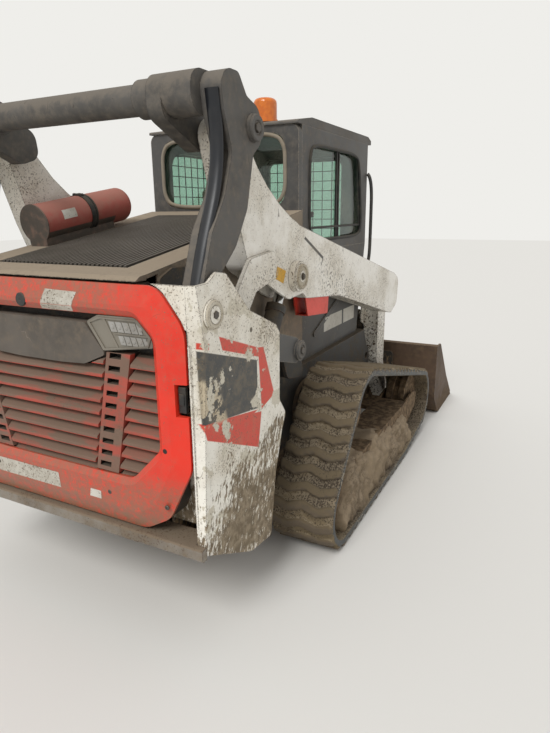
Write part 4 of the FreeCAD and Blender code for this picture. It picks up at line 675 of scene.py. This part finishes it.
def add_turned(mesh, centre, axis, profile, segments=32):
    """Revolves a profile of (radius, height) in mm round axis, from its seat outwards."""
    seat = Matrix.Translation(centre) @ turned_to(axis)
    rings = []
    for radius, height in profile:
        ring = []
        for k in range(segments):
            angle = 2 * math.pi * k / segments
            at = Vector((radius * math.cos(angle), radius * math.sin(angle), height)) / 1000
            ring.append(mesh.verts.new(seat @ at))
        rings.append(ring)
    for low, high in zip(rings, rings[1:]):
        for k in range(segments):
            following = (k + 1) % segments
            mesh.faces.new((low[k], low[following], high[following], high[k]))
    mesh.faces.new(rings[-1])


def add_hex_head(mesh, centre, axis, flats_mm, height_mm):
    """Washer and chamfered hexagonal head standing out along axis."""
    seat = Matrix.Translation(centre) @ turned_to(axis)
    rim = height_mm * 0.2
    washer = (24, flats_mm * 1.5, 0, rim, 0.96)          # sides, width, from, to and taper
    head = (6, flats_mm * 1.15, rim, height_mm, 0.9)
    for sides, wide, low, high, tip in (washer, head):
        lift = Matrix.Translation((0, 0, (low + high) / 2000))
        bmesh.ops.create_cone(mesh, cap_ends=True, segments=sides, radius1=wide / 2000,
                              radius2=wide * tip / 2000, depth=(high - low) / 1000, matrix=seat @ lift)


def add_block(mesh, low, high, rounding_mm=2.0):
    """Box between two machine corners in mm, with rounded edges."""
    a, b = place(*low), place(*high)
    made = bmesh.ops.create_cube(mesh, size=1.0)["verts"]
    for vert in made:
        vert.co = Vector([a[i] if vert.co[i] < 0 else b[i] for i in range(3)])
    edges = list({edge for vert in made for edge in vert.link_edges})
    bmesh.ops.bevel(mesh, geom=edges, offset=rounding_mm / 1000, segments=2, affect="EDGES", profile=0.5)


def hose(name, points_mm, radius_mm, finish, body, closed=False, widen=1.0):
    """Tube along a smooth curve; widen stretches its section sideways, along y."""
    curve = bpy.data.curves.new(name, "CURVE")
    curve.dimensions = "3D"
    curve.bevel_depth = radius_mm / 1000
    curve.bevel_resolution = 4
    curve.use_fill_caps = True
    middle = sum(at[1] for at in points_mm) / len(points_mm)
    spline = curve.splines.new("NURBS")
    spline.points.add(len(points_mm) - 1)
    for point, (x, y, z) in zip(spline.points, points_mm):
        point.co = (*place(x, (y - middle) / widen, z), 1.0)
    spline.use_cyclic_u = closed
    spline.use_endpoint_u = not closed
    spline.order_u = 3
    shape = bpy.data.objects.new(name + "_line", curve)
    mesh = bpy.data.meshes.new_from_object(shape)
    bpy.data.objects.remove(shape)
    bpy.data.curves.remove(curve)
    for vert in mesh.vertices:
        vert.co.y = vert.co.y * widen + middle / 1000
    for polygon in mesh.polygons:
        polygon.use_smooth = True
    mesh.name = name
    mesh.materials.clear()
    mesh.materials.append(FINISHES[finish])
    piece = bpy.data.objects.new(name, mesh)
    bpy.context.scene.collection.objects.link(piece)
    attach(piece, body)
    return piece


def lay_on(node, origin, direction, lift_mm=0.8):
    """The point of a node that a straight line from origin meets first, raised a little off it."""
    met, where, _, _ = NODES[node].ray_cast(origin, direction)
    if not met:
        raise RuntimeError("nothing of %s lies along the line from %s" % (node, tuple(origin)))
    return where - direction * (lift_mm / 1000)


def draped(name, node, corners, seen_from, finish, body, cells=12):
    """Thin label laid on a node's surface. corners: four, machine x, z from the right or y, z from behind."""
    if seen_from == "right":
        start, direction = (lambda u, v: place(u, -1200, v)), LEFTWARD
    else:
        start, direction = (lambda u, v: place(-200, u, v)), AHEAD
    a, b, c, d = [Vector(corner) for corner in corners]
    mesh = bmesh.new()
    rows = []
    for i in range(cells + 1):
        left, right = a.lerp(d, i / cells), b.lerp(c, i / cells)
        spots = [left.lerp(right, k / cells) for k in range(cells + 1)]
        rows.append([mesh.verts.new(lay_on(node, start(*spot), direction)) for spot in spots])
    for above, below in zip(rows, rows[1:]):
        for k in range(cells):
            mesh.faces.new((above[k], above[k + 1], below[k + 1], below[k]))
    return as_object(name, mesh, finish, body, smooth=True)


# Settings that a user would change

class LoaderStudioSettings(bpy.types.PropertyGroup):
    sky_strength: bpy.props.FloatProperty(name="Sky strength", description="Even light from all round",
                                          default=0.62, min=0.0, max=4.0)
    sun_strength: bpy.props.FloatProperty(name="Sun strength", description="Light of the soft main lamp",
                                          default=1.7, min=0.0, max=10.0)


class LoaderFittingSettings(bpy.types.PropertyGroup):
    sleeve_radius: bpy.props.FloatProperty(name="Sleeve radius", default=0.014, min=0.006, max=0.017,
                                           description="Half depth of the hose sleeve on a rear link",
                                           subtype="DISTANCE", precision=4)
    bolt_flats: bpy.props.FloatProperty(name="Bolt size", default=0.030, min=0.010, max=0.060,
                                        description="Width across the flats of a pivot bolt",
                                        subtype="DISTANCE", precision=4)
    guard_pitch: bpy.props.FloatProperty(name="Guard pitch", default=0.062, min=0.020, max=0.200,
                                         description="Mesh size of the guards on door and window",
                                         subtype="DISTANCE", precision=4)
    clay_depth: bpy.props.FloatProperty(name="Clay depth", default=0.290, min=0.060, max=0.340,
                                        description="Height of the clay packed in the tracks",
                                        subtype="DISTANCE", precision=3)
    tread_voxel: bpy.props.FloatProperty(name="Tread detail", default=0.008, min=0.006, max=0.020,
                                         description="Mesh size of the worn tread",
                                         subtype="DISTANCE", precision=4)


def colour_property(name, description, code):
    """A colour that the user may change, from an sRGB hex value."""
    return bpy.props.FloatVectorProperty(name=name, description=description, subtype="COLOR", size=3,
                                         min=0.0, max=1.0, default=linear(code)[:3])


class LoaderColourSettings(bpy.types.PropertyGroup):
    upright_enamel: colour_property("Upright enamel", "Clean enamel of the two uprights", "#f1ede2")
    arm_enamel: colour_property("Arm enamel", "Clean enamel of the lift arms", "#f1ede4")
    moulded_panel: colour_property("Moulded panel", "Clean plastic of the tailgate", "#e8321c")
    stripe: colour_property("Stripe", "Stripes painted on the uprights", "#d2402d")
    dark_panel: colour_property("Dark panel", "Dark field between the stripes", "#393a39")


FINISHES = {}                          # filled by the operator below
SIDES = ((-1, "right"), (1, "left"))


class LOADER_OT_finishes(bpy.types.Operator):
    """Gives every piece of the frame its own finish"""
    bl_idname = "loader.finishes"
    bl_label = "Finishes"

    def execute(self, context):
        FINISHES.update(make_finishes(context.scene.loader_colours))
        for finish, nodes in FINISH_NODES.items():
            for node in nodes:
                for material_slot in NODES[node].material_slots:
                    material_slot.material = FINISHES[finish]
        return {"FINISHED"}


BOLT_STANDOFF = 0.0012                 # of a bolt's washer from the boss face, metres
HEAD_HEIGHT = 9


class LOADER_OT_pivot_bolts(bpy.types.Operator):
    """Worn rings and bolts at the pivots that show from outside"""
    bl_idname = "loader.pivot_bolts"
    bl_label = "Pivot bolts"

    def execute(self, context):
        flats = in_mm(context.scene.loader_fittings.bolt_flats)
        # Body, finish of its ring, machine place of the boss face, outer and inner radius, bolt size
        table = (("chassis", "ring", (113, 715, 1279), 47, 31, 26),
                 ("lift_arms", "ring", (950, 638, 1310), 57, 45, 24),
                 ("rear_links", "link", (438, 699, 1866), 45, 24, flats),
                 ("control_links", "link", (850, 680, 995), 40, 24, flats))
        for body, finish, (x, y, z), outer, bore, size in table:
            rings, bolts = bmesh.new(), bmesh.new()
            for side in (-1, 1):
                face = place(x, side * y, z)
                add_turned(rings, face, (0, side, 0), [(outer, 0), (outer - 1, 4), (outer - 4, 7),
                                                       (bore + 3, 7), (bore, 5), (bore - 2, 1)])
                add_hex_head(bolts, face + LEFTWARD * side * BOLT_STANDOFF, (0, side, 0), size, HEAD_HEIGHT)
            as_object("pivot_rings_" + body, rings, finish, body)
            as_object("pivot_bolts_" + body, bolts, "zinc", body)
        return {"FINISHED"}


# Points along the sleeve, machine x and z, and how far each is moved forward in the channel
SLEEVE_ROUTE = ((92, 1352), (118, 1408), (160, 1492), (205, 1580), (240, 1660), (262, 1750), (266, 1840),
                (252, 1920), (240, 1962))
SLEEVE_TUCK = (14, 8, -2, -6, -6, -6, -6, -6, 0)
SLEEVE_SIDE = 652                      # |y| of its middle
SLEEVE_WIDEN = 1.8                     # the sleeve holds two hoses, so it is wider than deep


class LOADER_OT_link_sleeves(bpy.types.Operator):
    """Wide rubber sleeves over the hoses in the channels of the rear links"""
    bl_idname = "loader.link_sleeves"
    bl_label = "Link sleeves"

    def execute(self, context):
        radius = in_mm(context.scene.loader_fittings.sleeve_radius)
        for side, side_name in SIDES:
            points = [(x + tuck, side * SLEEVE_SIDE, z) for (x, z), tuck in zip(SLEEVE_ROUTE, SLEEVE_TUCK)]
            hose("link_sleeve_" + side_name, points, radius, "hose", "rear_links",
                 widen=SLEEVE_WIDEN)
        return {"FINISHED"}


def window_loop(corners, rounding_mm):
    """Points along a closed outline of straight sides, kept short of its corners by rounding_mm."""
    points = []
    for corner, following in zip(corners, corners[1:] + corners[:1]):
        a, b = Vector(corner), Vector(following)
        side = (b - a).normalized() * rounding_mm
        points += [tuple(a + side), tuple((a + b) / 2), tuple(b - side)]
    return points


REAR_WINDOW_AT = 1299                  # machine x of the rear window's seal
REAR_WINDOW = ((380, 1620), (380, 1970), (-380, 1970), (-380, 1620))       # its corners, y and z
SIDE_WINDOW = ((1430, 1440), (2270, 1440), (2190, 1925), (1430, 1925))     # x and z
SIDE_WINDOW_AT = 456                   # |y| of its seal
PANE_BARS = ((1835, 448, 1446, 1849, 436, 1920), (1868, 448, 1446, 1882, 436, 1920),
             (1436, 452, 1500, 2254, 438, 1512))                           # x, |y|, z of two corners
LATCH = (1452, 456, 1560, 1492, 440, 1590)
GRAB_RAIL_AT = 2352                    # machine x of the rail
GRAB_RAIL = ((462, 1215), (492, 1235), (494, 1500), (492, 1800), (462, 1822))    # |y| and z
SIDE_GUARD = (1440, 2215, 1450, 1915)  # x from and to, z from and to
SIDE_GUARD_AT = (424, 429, 434)        # y of the upright wires' faces and of the lying wires' outer face
WIRE = 5.0                             # thickness of the guards' wires


def shares(low, high, parts):
    """The places that divide the way from low to high into equal parts, without the ends."""
    return [low + (high - low) * k / parts for k in range(1, parts)]


class LOADER_OT_window_trim(bpy.types.Operator):
    """Seals, sliding panes, latch and grab rail of the cab, and the guard mesh of its door"""
    bl_idname = "loader.window_trim"
    bl_label = "Window trim"

    def execute(self, context):
        pitch = in_mm(context.scene.loader_fittings.guard_pitch)
        rear = [(REAR_WINDOW_AT, y, z) for y, z in REAR_WINDOW]
        hose("rear_window_seal", window_loop(rear, 60), 10, "tan_seal", "chassis", closed=True)
        for side, side_name in SIDES:
            outline = [(x, side * SIDE_WINDOW_AT, z) for x, z in SIDE_WINDOW]
            hose("side_window_seal_" + side_name, window_loop(outline, 55), 9, "seal", "chassis",
                 closed=True)
            frames = bmesh.new()
            for x_from, y_from, z_from, x_to, y_to, z_to in PANE_BARS:
                add_block(frames, (x_from, side * y_from, z_from), (x_to, side * y_to, z_to))
            as_object("sliding_pane_frames_" + side_name, frames, "seal", "chassis")
            latch = bmesh.new()
            x_from, y_from, z_from, x_to, y_to, z_to = LATCH
            add_block(latch, (x_from, side * y_from, z_from), (x_to, side * y_to, z_to), 4)
            as_object("pane_latch_" + side_name, latch, "black", "chassis")
            rail = [(GRAB_RAIL_AT, side * y, z) for y, z in GRAB_RAIL]
            hose("grab_rail_" + side_name, rail, 11, "black", "chassis")
        self.door_guard(pitch)
        self.side_guard(pitch)
        return {"FINISHED"}

    def door_guard(self, pitch):
        """Wires welded in a mesh over the door's glass."""
        low, high = [corner * 1000 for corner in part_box("door_glass")]
        guard = bmesh.new()
        x = low.x + HALF_LENGTH - 4
        for y in shares(low.y, high.y, int((high.y - low.y) / pitch)):
            add_block(guard, (x - WIRE, y - WIRE / 2, low.z + 2), (x, y + WIRE / 2, high.z - 2), 1)
        for z in shares(low.z, high.z, int((high.z - low.z) / pitch)):
            add_block(guard, (x - WIRE - 4, low.y + 2, z - WIRE / 2), (x - WIRE, high.y - 2, z + WIRE / 2), 1)
        as_object("door_guard", guard, "black", "cab_door")

    def side_guard(self, pitch):
        """The same mesh inside the left window."""
        guard = bmesh.new()
        left, right, bottom, top = SIDE_GUARD
        inner, middle, outer = SIDE_GUARD_AT
        for x in shares(left, right, round((right - left) / pitch)):
            add_block(guard, (x - WIRE / 2, inner, bottom), (x + WIRE / 2, middle, top), 1)
        for z in shares(bottom, top, round((top - bottom) / pitch)):
            add_block(guard, (left, middle, z - WIRE / 2), (right, outer, z + WIRE / 2), 1)
        as_object("side_guard", guard, "black", "chassis")


LAMP_FACE = 22.0       # machine x of the rear lamps' outer face
LAMP_RIM = [(-322, 1144), (-519, 1172), (-532, 1203), (-480, 1258), (-308, 1257), (-262, 1238)]
LAMP_DIVIDER = [(-331, 1252), (-339, 1254), (-391, 1160), (-383, 1158)]
LED_ROWS = ((1246, 1212, -352, -500), (1200, 1170, -392, -520))    # top, bottom, inner y, outer y
LED_COLUMNS = 5
LED_SLANT = 0.35                       # sideways lean of a cell for each mm of height
LAMP_CROSSBAR = [(-378, 1210), (-378, 1204), (-522, 1204), (-522, 1210)]
LED_DOME = [(8, 0), (7, 1.6), (4, 2.6), (1, 2.9)]                  # radius and height


def add_slab(mesh, corners_yz, x_from, x_to, side):
    """Flat slab with its outline seen from behind, mirrored to the left where side is 1."""
    layers = []
    for x in (x_from, x_to):
        layers.append([mesh.verts.new(place(x, y * -side, z)) for y, z in corners_yz])
    front, back = layers
    mesh.faces.new(front)
    mesh.faces.new(back[::-1])
    for k in range(len(front)):
        following = (k + 1) % len(front)
        mesh.faces.new((front[following], front[k], back[k], back[following]))


def add_rim(mesh, corners_yz, width_mm, x_from, x_to, side):
    """Raised border along an outline seen from behind."""
    middle = Vector([sum(c[i] for c in corners_yz) / len(corners_yz) for i in (0, 1)])
    inner = []
    for corner in corners_yz:
        inward = (middle - Vector(corner)).normalized()
        inner.append(tuple(Vector(corner) + inward * width_mm))
    for k in range(len(corners_yz)):
        following = (k + 1) % len(corners_yz)
        add_slab(mesh, [corners_yz[k], corners_yz[following], inner[following], inner[k]], x_from, x_to, side)


class LOADER_OT_rear_lamps(bpy.types.Operator):
    """Frames, dividers and cells of the rear lamps"""
    bl_idname = "loader.rear_lamps"
    bl_label = "Rear lamps"

    def execute(self, context):
        rims, lenses = bmesh.new(), bmesh.new()
        for side in (-1, 1):
            add_rim(rims, LAMP_RIM, 11, LAMP_FACE - 4, LAMP_FACE, side)
            add_slab(rims, LAMP_DIVIDER, LAMP_FACE - 3, LAMP_FACE, side)
            add_slab(rims, LAMP_CROSSBAR, LAMP_FACE - 3, LAMP_FACE, side)
            for top, bottom, inner, outer in LED_ROWS:
                pitch = (outer - inner) / LED_COLUMNS
                for k in range(LED_COLUMNS):
                    near, far = inner + pitch * k - 2, inner + pitch * (k + 1) + 2
                    slant = (top - bottom) * LED_SLANT
                    cell = [(near, top), (far, top), (far - slant, bottom), (near - slant, bottom)]
                    if k == LED_COLUMNS - 1:
                        cell = [(near, top), (far + 8, top), (far, bottom), (near - slant, bottom)]
                    add_slab(lenses, cell, LAMP_FACE - 2.5, LAMP_FACE, side)
                    centre = ((near + far) / 2 - slant / 2, (top + bottom) / 2)
                    dome = place(LAMP_FACE - 2.4, centre[0] * -side, centre[1])
                    add_turned(lenses, dome, -AHEAD, LED_DOME, 12)
        as_object("lamp_frames", rims, "housing", "tailgate")
        as_object("lamp_cells", lenses, "lens", "tailgate")
        return {"FINISHED"}


TAIL_LATCH = ((27, -650, 962), (44, -621, 1052))
LATCH_LEVER = ((22, -646, 990), (30, -626, 1030))
TAIL_BUFFER = (9, 45, 1296)
BUFFER_PROFILE = [(25, -3), (25, 2), (23, 4), (6, 4), (5, 3)]      # radius and height
SCREW_PLACES = tuple((8, y, 612) for y in (-560, -300, 300, 560))
SCREW_PROFILE = [(9, -3), (9, 1), (7, 3), (3, 3), (2.5, 1)]
# Name and corners of each label, machine y and z, seen from behind
TAIL_LABELS = (("tail_label_top", [(-78, 1341), (-228, 1337), (-196, 1268), (-44, 1268)]),
               ("tail_label_low", [(300, 634), (-42, 634), (-48, 572), (306, 572)]),
               ("tail_label_small", [(-206, 606), (-258, 606), (-256, 574), (-200, 574)]))


class LOADER_OT_tail_fittings(bpy.types.Operator):
    """Latch, rubber buffer, screws and blank labels of the tailgate"""
    bl_idname = "loader.tail_fittings"
    bl_label = "Tail fittings"

    def execute(self, context):
        latch = bmesh.new()
        add_block(latch, *TAIL_LATCH, 3)
        add_block(latch, *LATCH_LEVER, 3)
        as_object("tail_latch", latch, "black", "tailgate")
        buffer = bmesh.new()
        add_turned(buffer, place(*TAIL_BUFFER), -AHEAD, BUFFER_PROFILE)
        as_object("tail_buffer", buffer, "black", "tailgate")
        screws = bmesh.new()
        for screw in SCREW_PLACES:
            add_turned(screws, place(*screw), -AHEAD, SCREW_PROFILE, 16)
        as_object("tail_screws", screws, "zinc", "tailgate")
        for name, corners in TAIL_LABELS:
            draped(name, "tailgate_frame", corners, "behind", "label", "tailgate")
        return {"FINISHED"}


# Corners of the blank labels seen from the right, machine x and z
ARM_LABEL = [(741, 1380), (858, 1342), (832, 1290), (728, 1329)]
CAB_LABELS = [[(x_from, 990), (x_to, 990), (x_to, 902), (x_from, 902)]
              for x_from, x_to in ((1655, 1950), (1975, 2175))]
BOTTLE_LABEL = [(492, 1606), (570, 1619), (574, 1580), (496, 1567)]


class LOADER_OT_side_labels(bpy.types.Operator):
    """Blank labels on the arm and the cab's lower panel"""
    bl_idname = "loader.side_labels"
    bl_label = "Side labels"

    def execute(self, context):
        draped("arm_label", "lift_arm_right", ARM_LABEL, "right", "yellow", "lift_arms")
        for k, corners in enumerate(CAB_LABELS):
            draped("cab_label_%d" % k, "cab_lower_panels", corners, "right", "label", "chassis")
        return {"FINISHED"}


# Where each band sits along the bottle, in metres, and its width; and the buckle's place
STRAP_BANDS = ((0.262, 26), (0.292, 9))
BAND_THICK = 4
BUCKLE_ALONG, BUCKLE_UP = 0.275, 0.084
BUCKLE_STUDS = ((-0.026, 11), (-0.006, 15), (0.018, 9))    # shift sideways in metres, radius


class LOADER_OT_bottle_strap(bpy.types.Operator):
    """Band clamp, buckle and blank label of the fire extinguisher"""
    bl_idname = "loader.bottle_strap"
    bl_label = "Extinguisher strap"

    def execute(self, context):
        origin = place(*BOTTLE_FOOT) + RISING * (BOTTLE_LIFT / 1000)
        strap = bmesh.new()
        outside = BOTTLE_RADIUS + BAND_THICK
        for reach, width in STRAP_BANDS:
            band = [(BOTTLE_RADIUS, 0), (outside, 0), (outside, width), (BOTTLE_RADIUS, width)]
            add_turned(strap, origin + LENGTHWISE * reach, LENGTHWISE, band, 48)
        buckle = origin + LENGTHWISE * BUCKLE_ALONG + RISING * BUCKLE_UP
        for k, (shift, wide) in enumerate(BUCKLE_STUDS):
            add_turned(strap, buckle + Vector((0, shift, -0.002)), RISING,
                       [(wide, -3), (wide, 5 + k), (wide - 3, 8 + k), (2, 8 + k)], 12)
        as_object("bottle_strap", strap, "seal", "chassis")
        draped("bottle_label", "extinguisher", BOTTLE_LABEL, "right", "label", "chassis")
        return {"FINISHED"}


# Wheels inside the belt: machine x, z and radius to the belt's outer face
BELT_WHEELS = ((965, 205, 183), (1190, 130, 108), (2090, 130, 108), (2505, 285, 200), (1300, 565, 233))
LUG_TOP = 0.022                        # height of a lug over the belt, metres
TRACK_OUTER = 0.875                    # |y| of the belt's outer flank, metres
LUMPS_PER_METRE = 38
BELT_SKIN = 0.004                      # the weathered face starts this far inside the belt, metres
RUBBER, MUD, FLANK = 0, 1, 2           # the tread's material slots


def height_over_belt(points):
    """How far each point stands out from the belt's outer face, in metres."""
    turns = numpy.linspace(0, 2 * math.pi, 181)[:-1]
    outward = numpy.stack([numpy.cos(turns), numpy.sin(turns)])
    centres = numpy.array([place(x, 0, z).xz for x, z, radius in BELT_WHEELS])
    reach = (centres @ outward + numpy.array([wheel[2] / 1000 for wheel in BELT_WHEELS])[:, None]).max(axis=0)
    return (points[:, ::2] @ outward - reach).max(axis=1)


def belt_outward(points):
    """Outward direction of the belt's face nearest to each point."""
    step = 0.0005      # metres either side
    ahead = height_over_belt(points + (step, 0, 0)) - height_over_belt(points - (step, 0, 0))
    above = height_over_belt(points + (0, 0, step)) - height_over_belt(points - (0, 0, step))
    outward = numpy.stack([ahead, numpy.zeros(len(points)), above], axis=1)
    return outward / numpy.maximum(numpy.linalg.norm(outward, axis=1), 1e-9)[:, None]


class LOADER_OT_tread(bpy.types.Operator):
    """Belts with rounded wavy lugs, and mud dried lumpy between them"""
    bl_idname = "loader.tread"
    bl_label = "Tread"

    def execute(self, context):
        voxel = context.scene.loader_fittings.tread_voxel
        for _, side_name in SIDES:
            node = "track_" + side_name
            piece = bpy.data.objects.new("tread_" + side_name, NODES[node].data.copy())
            context.scene.collection.objects.link(piece)
            remesh = piece.modifiers.new("remesh", "REMESH")
            remesh.mode = "VOXEL"
            remesh.voxel_size = voxel
            rounding = piece.modifiers.new("rounding", "SMOOTH")
            rounding.factor = 0.5
            rounding.iterations = 2
            mesh = evaluated_mesh(piece)
            piece.modifiers.clear()
            piece.data = mesh
            self.weather(mesh)
            self.finish(mesh)
            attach(piece, "chassis")
            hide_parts(node)
        return {"FINISHED"}

    def weather(self, mesh):
        """Swells the lugs' sides and heaps mud between them, inside the belt's own outline."""
        points = numpy.array([vert.co for vert in mesh.vertices])
        normals = numpy.array([vert.normal for vert in mesh.vertices])
        heights = height_over_belt(points)
        push = numpy.zeros(len(points))
        for k in numpy.nonzero(heights > -BELT_SKIN)[0]:
            at = Vector(points[k])
            lumps = field.fractal(at * LUMPS_PER_METRE, 0.9, 2.1, 4)
            low = max(0.0, 1.0 - max(heights[k], 0.0) / (0.6 * LUG_TOP))
            push[k] = 0.004 + 0.0012 * lumps + low * (0.001 + 0.005 * max(lumps, -0.3))
        points += normals * push[:, None]
        outward = belt_outward(points)
        over = numpy.maximum(height_over_belt(points) - (LUG_TOP - 0.001), 0.0)
        points -= outward * over[:, None]
        points[:, 1] = numpy.clip(points[:, 1], -TRACK_OUTER, TRACK_OUTER)
        mesh.vertices.foreach_set("co", points.ravel())
        mesh.update()

    def finish(self, mesh):
        """Rubber on the lugs, mud between them, and wiped rubber on the flanks."""
        mesh.materials.clear()
        for finish in ("rubber", "tread_mud", "flank"):
            mesh.materials.append(FINISHES[finish])
        centres = numpy.array([polygon.center for polygon in mesh.polygons])
        heights = height_over_belt(centres)
        for polygon, height in zip(mesh.polygons, heights):
            polygon.use_smooth = True
            if abs(polygon.normal.y) > 0.75 and height < BELT_SKIN:
                polygon.material_index = FLANK
            elif height < 0.5 * LUG_TOP:
                polygon.material_index = MUD
            else:
                polygon.material_index = RUBBER


CLAY_FROM, CLAY_TO = 985.0, 2330.0     # machine x of its ends, between the idlers
CLAY_MIDDLE, CLAY_HALF = 716.0, 138.0  # |y| of its middle, half its width
BELT_INSIDE = 52.0                     # height of the belt's inner face
HEAP_MM, LUMP_MM, CRUMB_MM = 180, 80, 22     # sizes of the clay's heaps, lumps and crumbs


class LOADER_OT_track_clay(bpy.types.Operator):
    """Clay dried between the rollers and along the track frames"""
    bl_idname = "loader.track_clay"
    bl_label = "Clay in the tracks"

    def execute(self, context):
        depth = in_mm(context.scene.loader_fittings.clay_depth)
        stations, around = 110, 54     # points along and across the heap
        for side, side_name in SIDES:
            mesh = bmesh.new()
            rings = []
            for i in range(stations + 1):
                share = i / stations
                x = CLAY_FROM + (CLAY_TO - CLAY_FROM) * share
                ends = min(1.0, 0.35 + 7 * share, 0.3 + 6 * (1 - share))
                lump = field.noise(Vector((x / HEAP_MM, side * 3.1, 0.4))) * 60
                top = BELT_INSIDE + (depth * (1.06 - 0.26 * share) + lump) * ends
                ring = []
                for k in range(around + 1):
                    turn = math.pi * (1 - k / around)
                    wide = math.copysign(abs(math.cos(turn)) ** 0.42, math.cos(turn))
                    y = CLAY_MIDDLE + CLAY_HALF * wide
                    z = BELT_INSIDE + (top - BELT_INSIDE) * abs(math.sin(turn)) ** 0.6
                    at = Vector((x, side * y, z))
                    coarse = field.fractal(at / LUMP_MM, 0.9, 2.1, 4) * 24
                    fine = field.fractal(at / CRUMB_MM + Vector((7, 3, 1)), 0.7, 2.0, 5) * 9
                    push = coarse + fine
                    y = min(y + push * wide, CLAY_MIDDLE + CLAY_HALF + 14)
                    z = max(z + push * abs(math.sin(turn)), BELT_INSIDE)
                    ring.append(mesh.verts.new(place(x + fine, side * y, z)))
                rings.append(ring)
            for low, high in zip(rings, rings[1:]):
                for k in range(around):
                    mesh.faces.new((low[k], low[k + 1], high[k + 1], high[k]))
                mesh.faces.new((low[around], low[0], high[0], high[around]))
            mesh.faces.new(rings[0][::-1])
            mesh.faces.new(rings[-1])
            bmesh.ops.recalc_face_normals(mesh, faces=mesh.faces)
            as_object("track_clay_" + side_name, mesh, "clay", "chassis", smooth=True)
        return {"FINISHED"}


CUSHION = ((1396, -232, 1092), (1952, 232, 1182))       # machine corners before it swells
BACKREST = ((1386, -216, 1200), (1474, 216, 1738))
SEAT_BASE = ((1412, -205, 813), (1880, 205, 1078))
SWELL_CAP = 0.022                      # the cushions swell no further than this, metres
SEAMS = (-0.13, 0.13)                  # y of the sewn channels, metres
SEAM_DEPTH = 0.007
SEAM_WIDTH = 0.007
AIR_PRESSURE = 4.0
AIR_FRAMES = 20
PLEATS = 7
PLEAT_DEPTH = 14


def puffed(name, low, high, rounding_mm, voxel_mm=9.0):
    """Cushion swollen by air from a slightly smaller block, with sewn channels."""
    block = bmesh.new()
    add_block(block, low, high, rounding_mm)
    piece = as_object(name, block, "vinyl", "chassis", smooth=True)
    remesh = piece.modifiers.new("remesh", "REMESH")
    remesh.mode = "VOXEL"
    remesh.voxel_size = voxel_mm / 1000
    remesh.use_smooth_shade = True
    fine = evaluated_mesh(piece)
    piece.modifiers.clear()
    piece.data = fine
    start = [vert.co.copy() for vert in fine.vertices]
    air = piece.modifiers.new("air", "CLOTH")
    air.settings.use_pressure = True
    air.settings.uniform_pressure_force = AIR_PRESSURE
    air.settings.effector_weights.gravity = 0.0
    air.settings.quality = 4
    for number in range(1, AIR_FRAMES + 1):
        bpy.context.scene.frame_set(number)
    swollen = evaluated_mesh(piece)
    piece.modifiers.clear()
    piece.data = swollen
    bpy.context.scene.frame_set(1)
    for vert, home in zip(piece.data.vertices, start):
        moved = vert.co - home
        if moved.length > SWELL_CAP:
            vert.co = home + moved.normalized() * SWELL_CAP
        for seam in SEAMS:
            vert.co -= vert.normal * SEAM_DEPTH * math.exp(-((vert.co.y - seam) / SEAM_WIDTH) ** 2)
    smooth = piece.modifiers.new("smooth", "SUBSURF")
    smooth.levels = 1
    smooth.render_levels = 1
    final = evaluated_mesh(piece)
    piece.modifiers.clear()
    piece.data = final
    if not final.materials:
        final.materials.append(FINISHES["vinyl"])
    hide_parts("seat")
    return piece


class LOADER_OT_seat(bpy.types.Operator):
    """Cushion, backrest and pleated suspension cover of the driver's seat"""
    bl_idname = "loader.seat"
    bl_label = "Seat"

    def execute(self, context):
        puffed("seat_cushion", *CUSHION, 30)
        puffed("seat_backrest", *BACKREST, 30)
        base = bmesh.new()
        low, high = SEAT_BASE
        step = (high[2] - low[2]) / PLEATS
        for k in range(PLEATS):
            shrink = 0 if k % 2 else PLEAT_DEPTH
            add_block(base, (low[0] + shrink, low[1] + shrink, low[2] + k * step),
                      (high[0] - shrink, high[1] - shrink, low[2] + (k + 1) * step), 6)
        cover = as_object("seat_base_cover", base, "black", "chassis")
        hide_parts("seat")
        return {"FINISHED"}


class LOADER_OT_studio(bpy.types.Operator):
    """Floor, sky, lamp and the photograph's camera"""
    bl_idname = "loader.studio"
    bl_label = "Studio"

    def execute(self, context):
        make_studio(context.scene.loader_studio)
        make_camera()
        return {"FINISHED"}


OPERATORS = (LOADER_OT_studio, LOADER_OT_finishes, LOADER_OT_pivot_bolts, LOADER_OT_link_sleeves,
             LOADER_OT_window_trim, LOADER_OT_rear_lamps, LOADER_OT_tail_fittings, LOADER_OT_side_labels,
             LOADER_OT_bottle_strap, LOADER_OT_tread, LOADER_OT_track_clay, LOADER_OT_seat)


class LOADER_PT_panel(bpy.types.Panel):
    """Lists the steps that dress the machine"""
    bl_idname = "LOADER_PT_panel"
    bl_label = "Track loader"
    bl_space_type = "VIEW_3D"
    bl_region_type = "UI"
    bl_category = "Loader"

    def draw(self, context):
        for operator in OPERATORS:
            self.layout.operator(operator.bl_idname)
        scene = context.scene
        for group in (scene.loader_studio, scene.loader_colours, scene.loader_fittings):
            for key in group.__annotations__:
                self.layout.prop(group, key)


CLASSES = (LoaderStudioSettings, LoaderColourSettings, LoaderFittingSettings) + OPERATORS + (LOADER_PT_panel,)


def register():
    for cls in CLASSES:
        bpy.utils.register_class(cls)
    bpy.types.Scene.loader_studio = bpy.props.PointerProperty(type=LoaderStudioSettings)
    bpy.types.Scene.loader_colours = bpy.props.PointerProperty(type=LoaderColourSettings)
    bpy.types.Scene.loader_fittings = bpy.props.PointerProperty(type=LoaderFittingSettings)


def unregister():
    del bpy.types.Scene.loader_fittings
    del bpy.types.Scene.loader_colours
    del bpy.types.Scene.loader_studio
    for cls in reversed(CLASSES):
        bpy.utils.unregister_class(cls)


def main():
    register()
    for operator in OPERATORS:
        group, name = operator.bl_idname.split(".")
        getattr(getattr(bpy.ops, group), name)()
    bpy.context.view_layer.update()


if __name__ == "__main__":
    main()
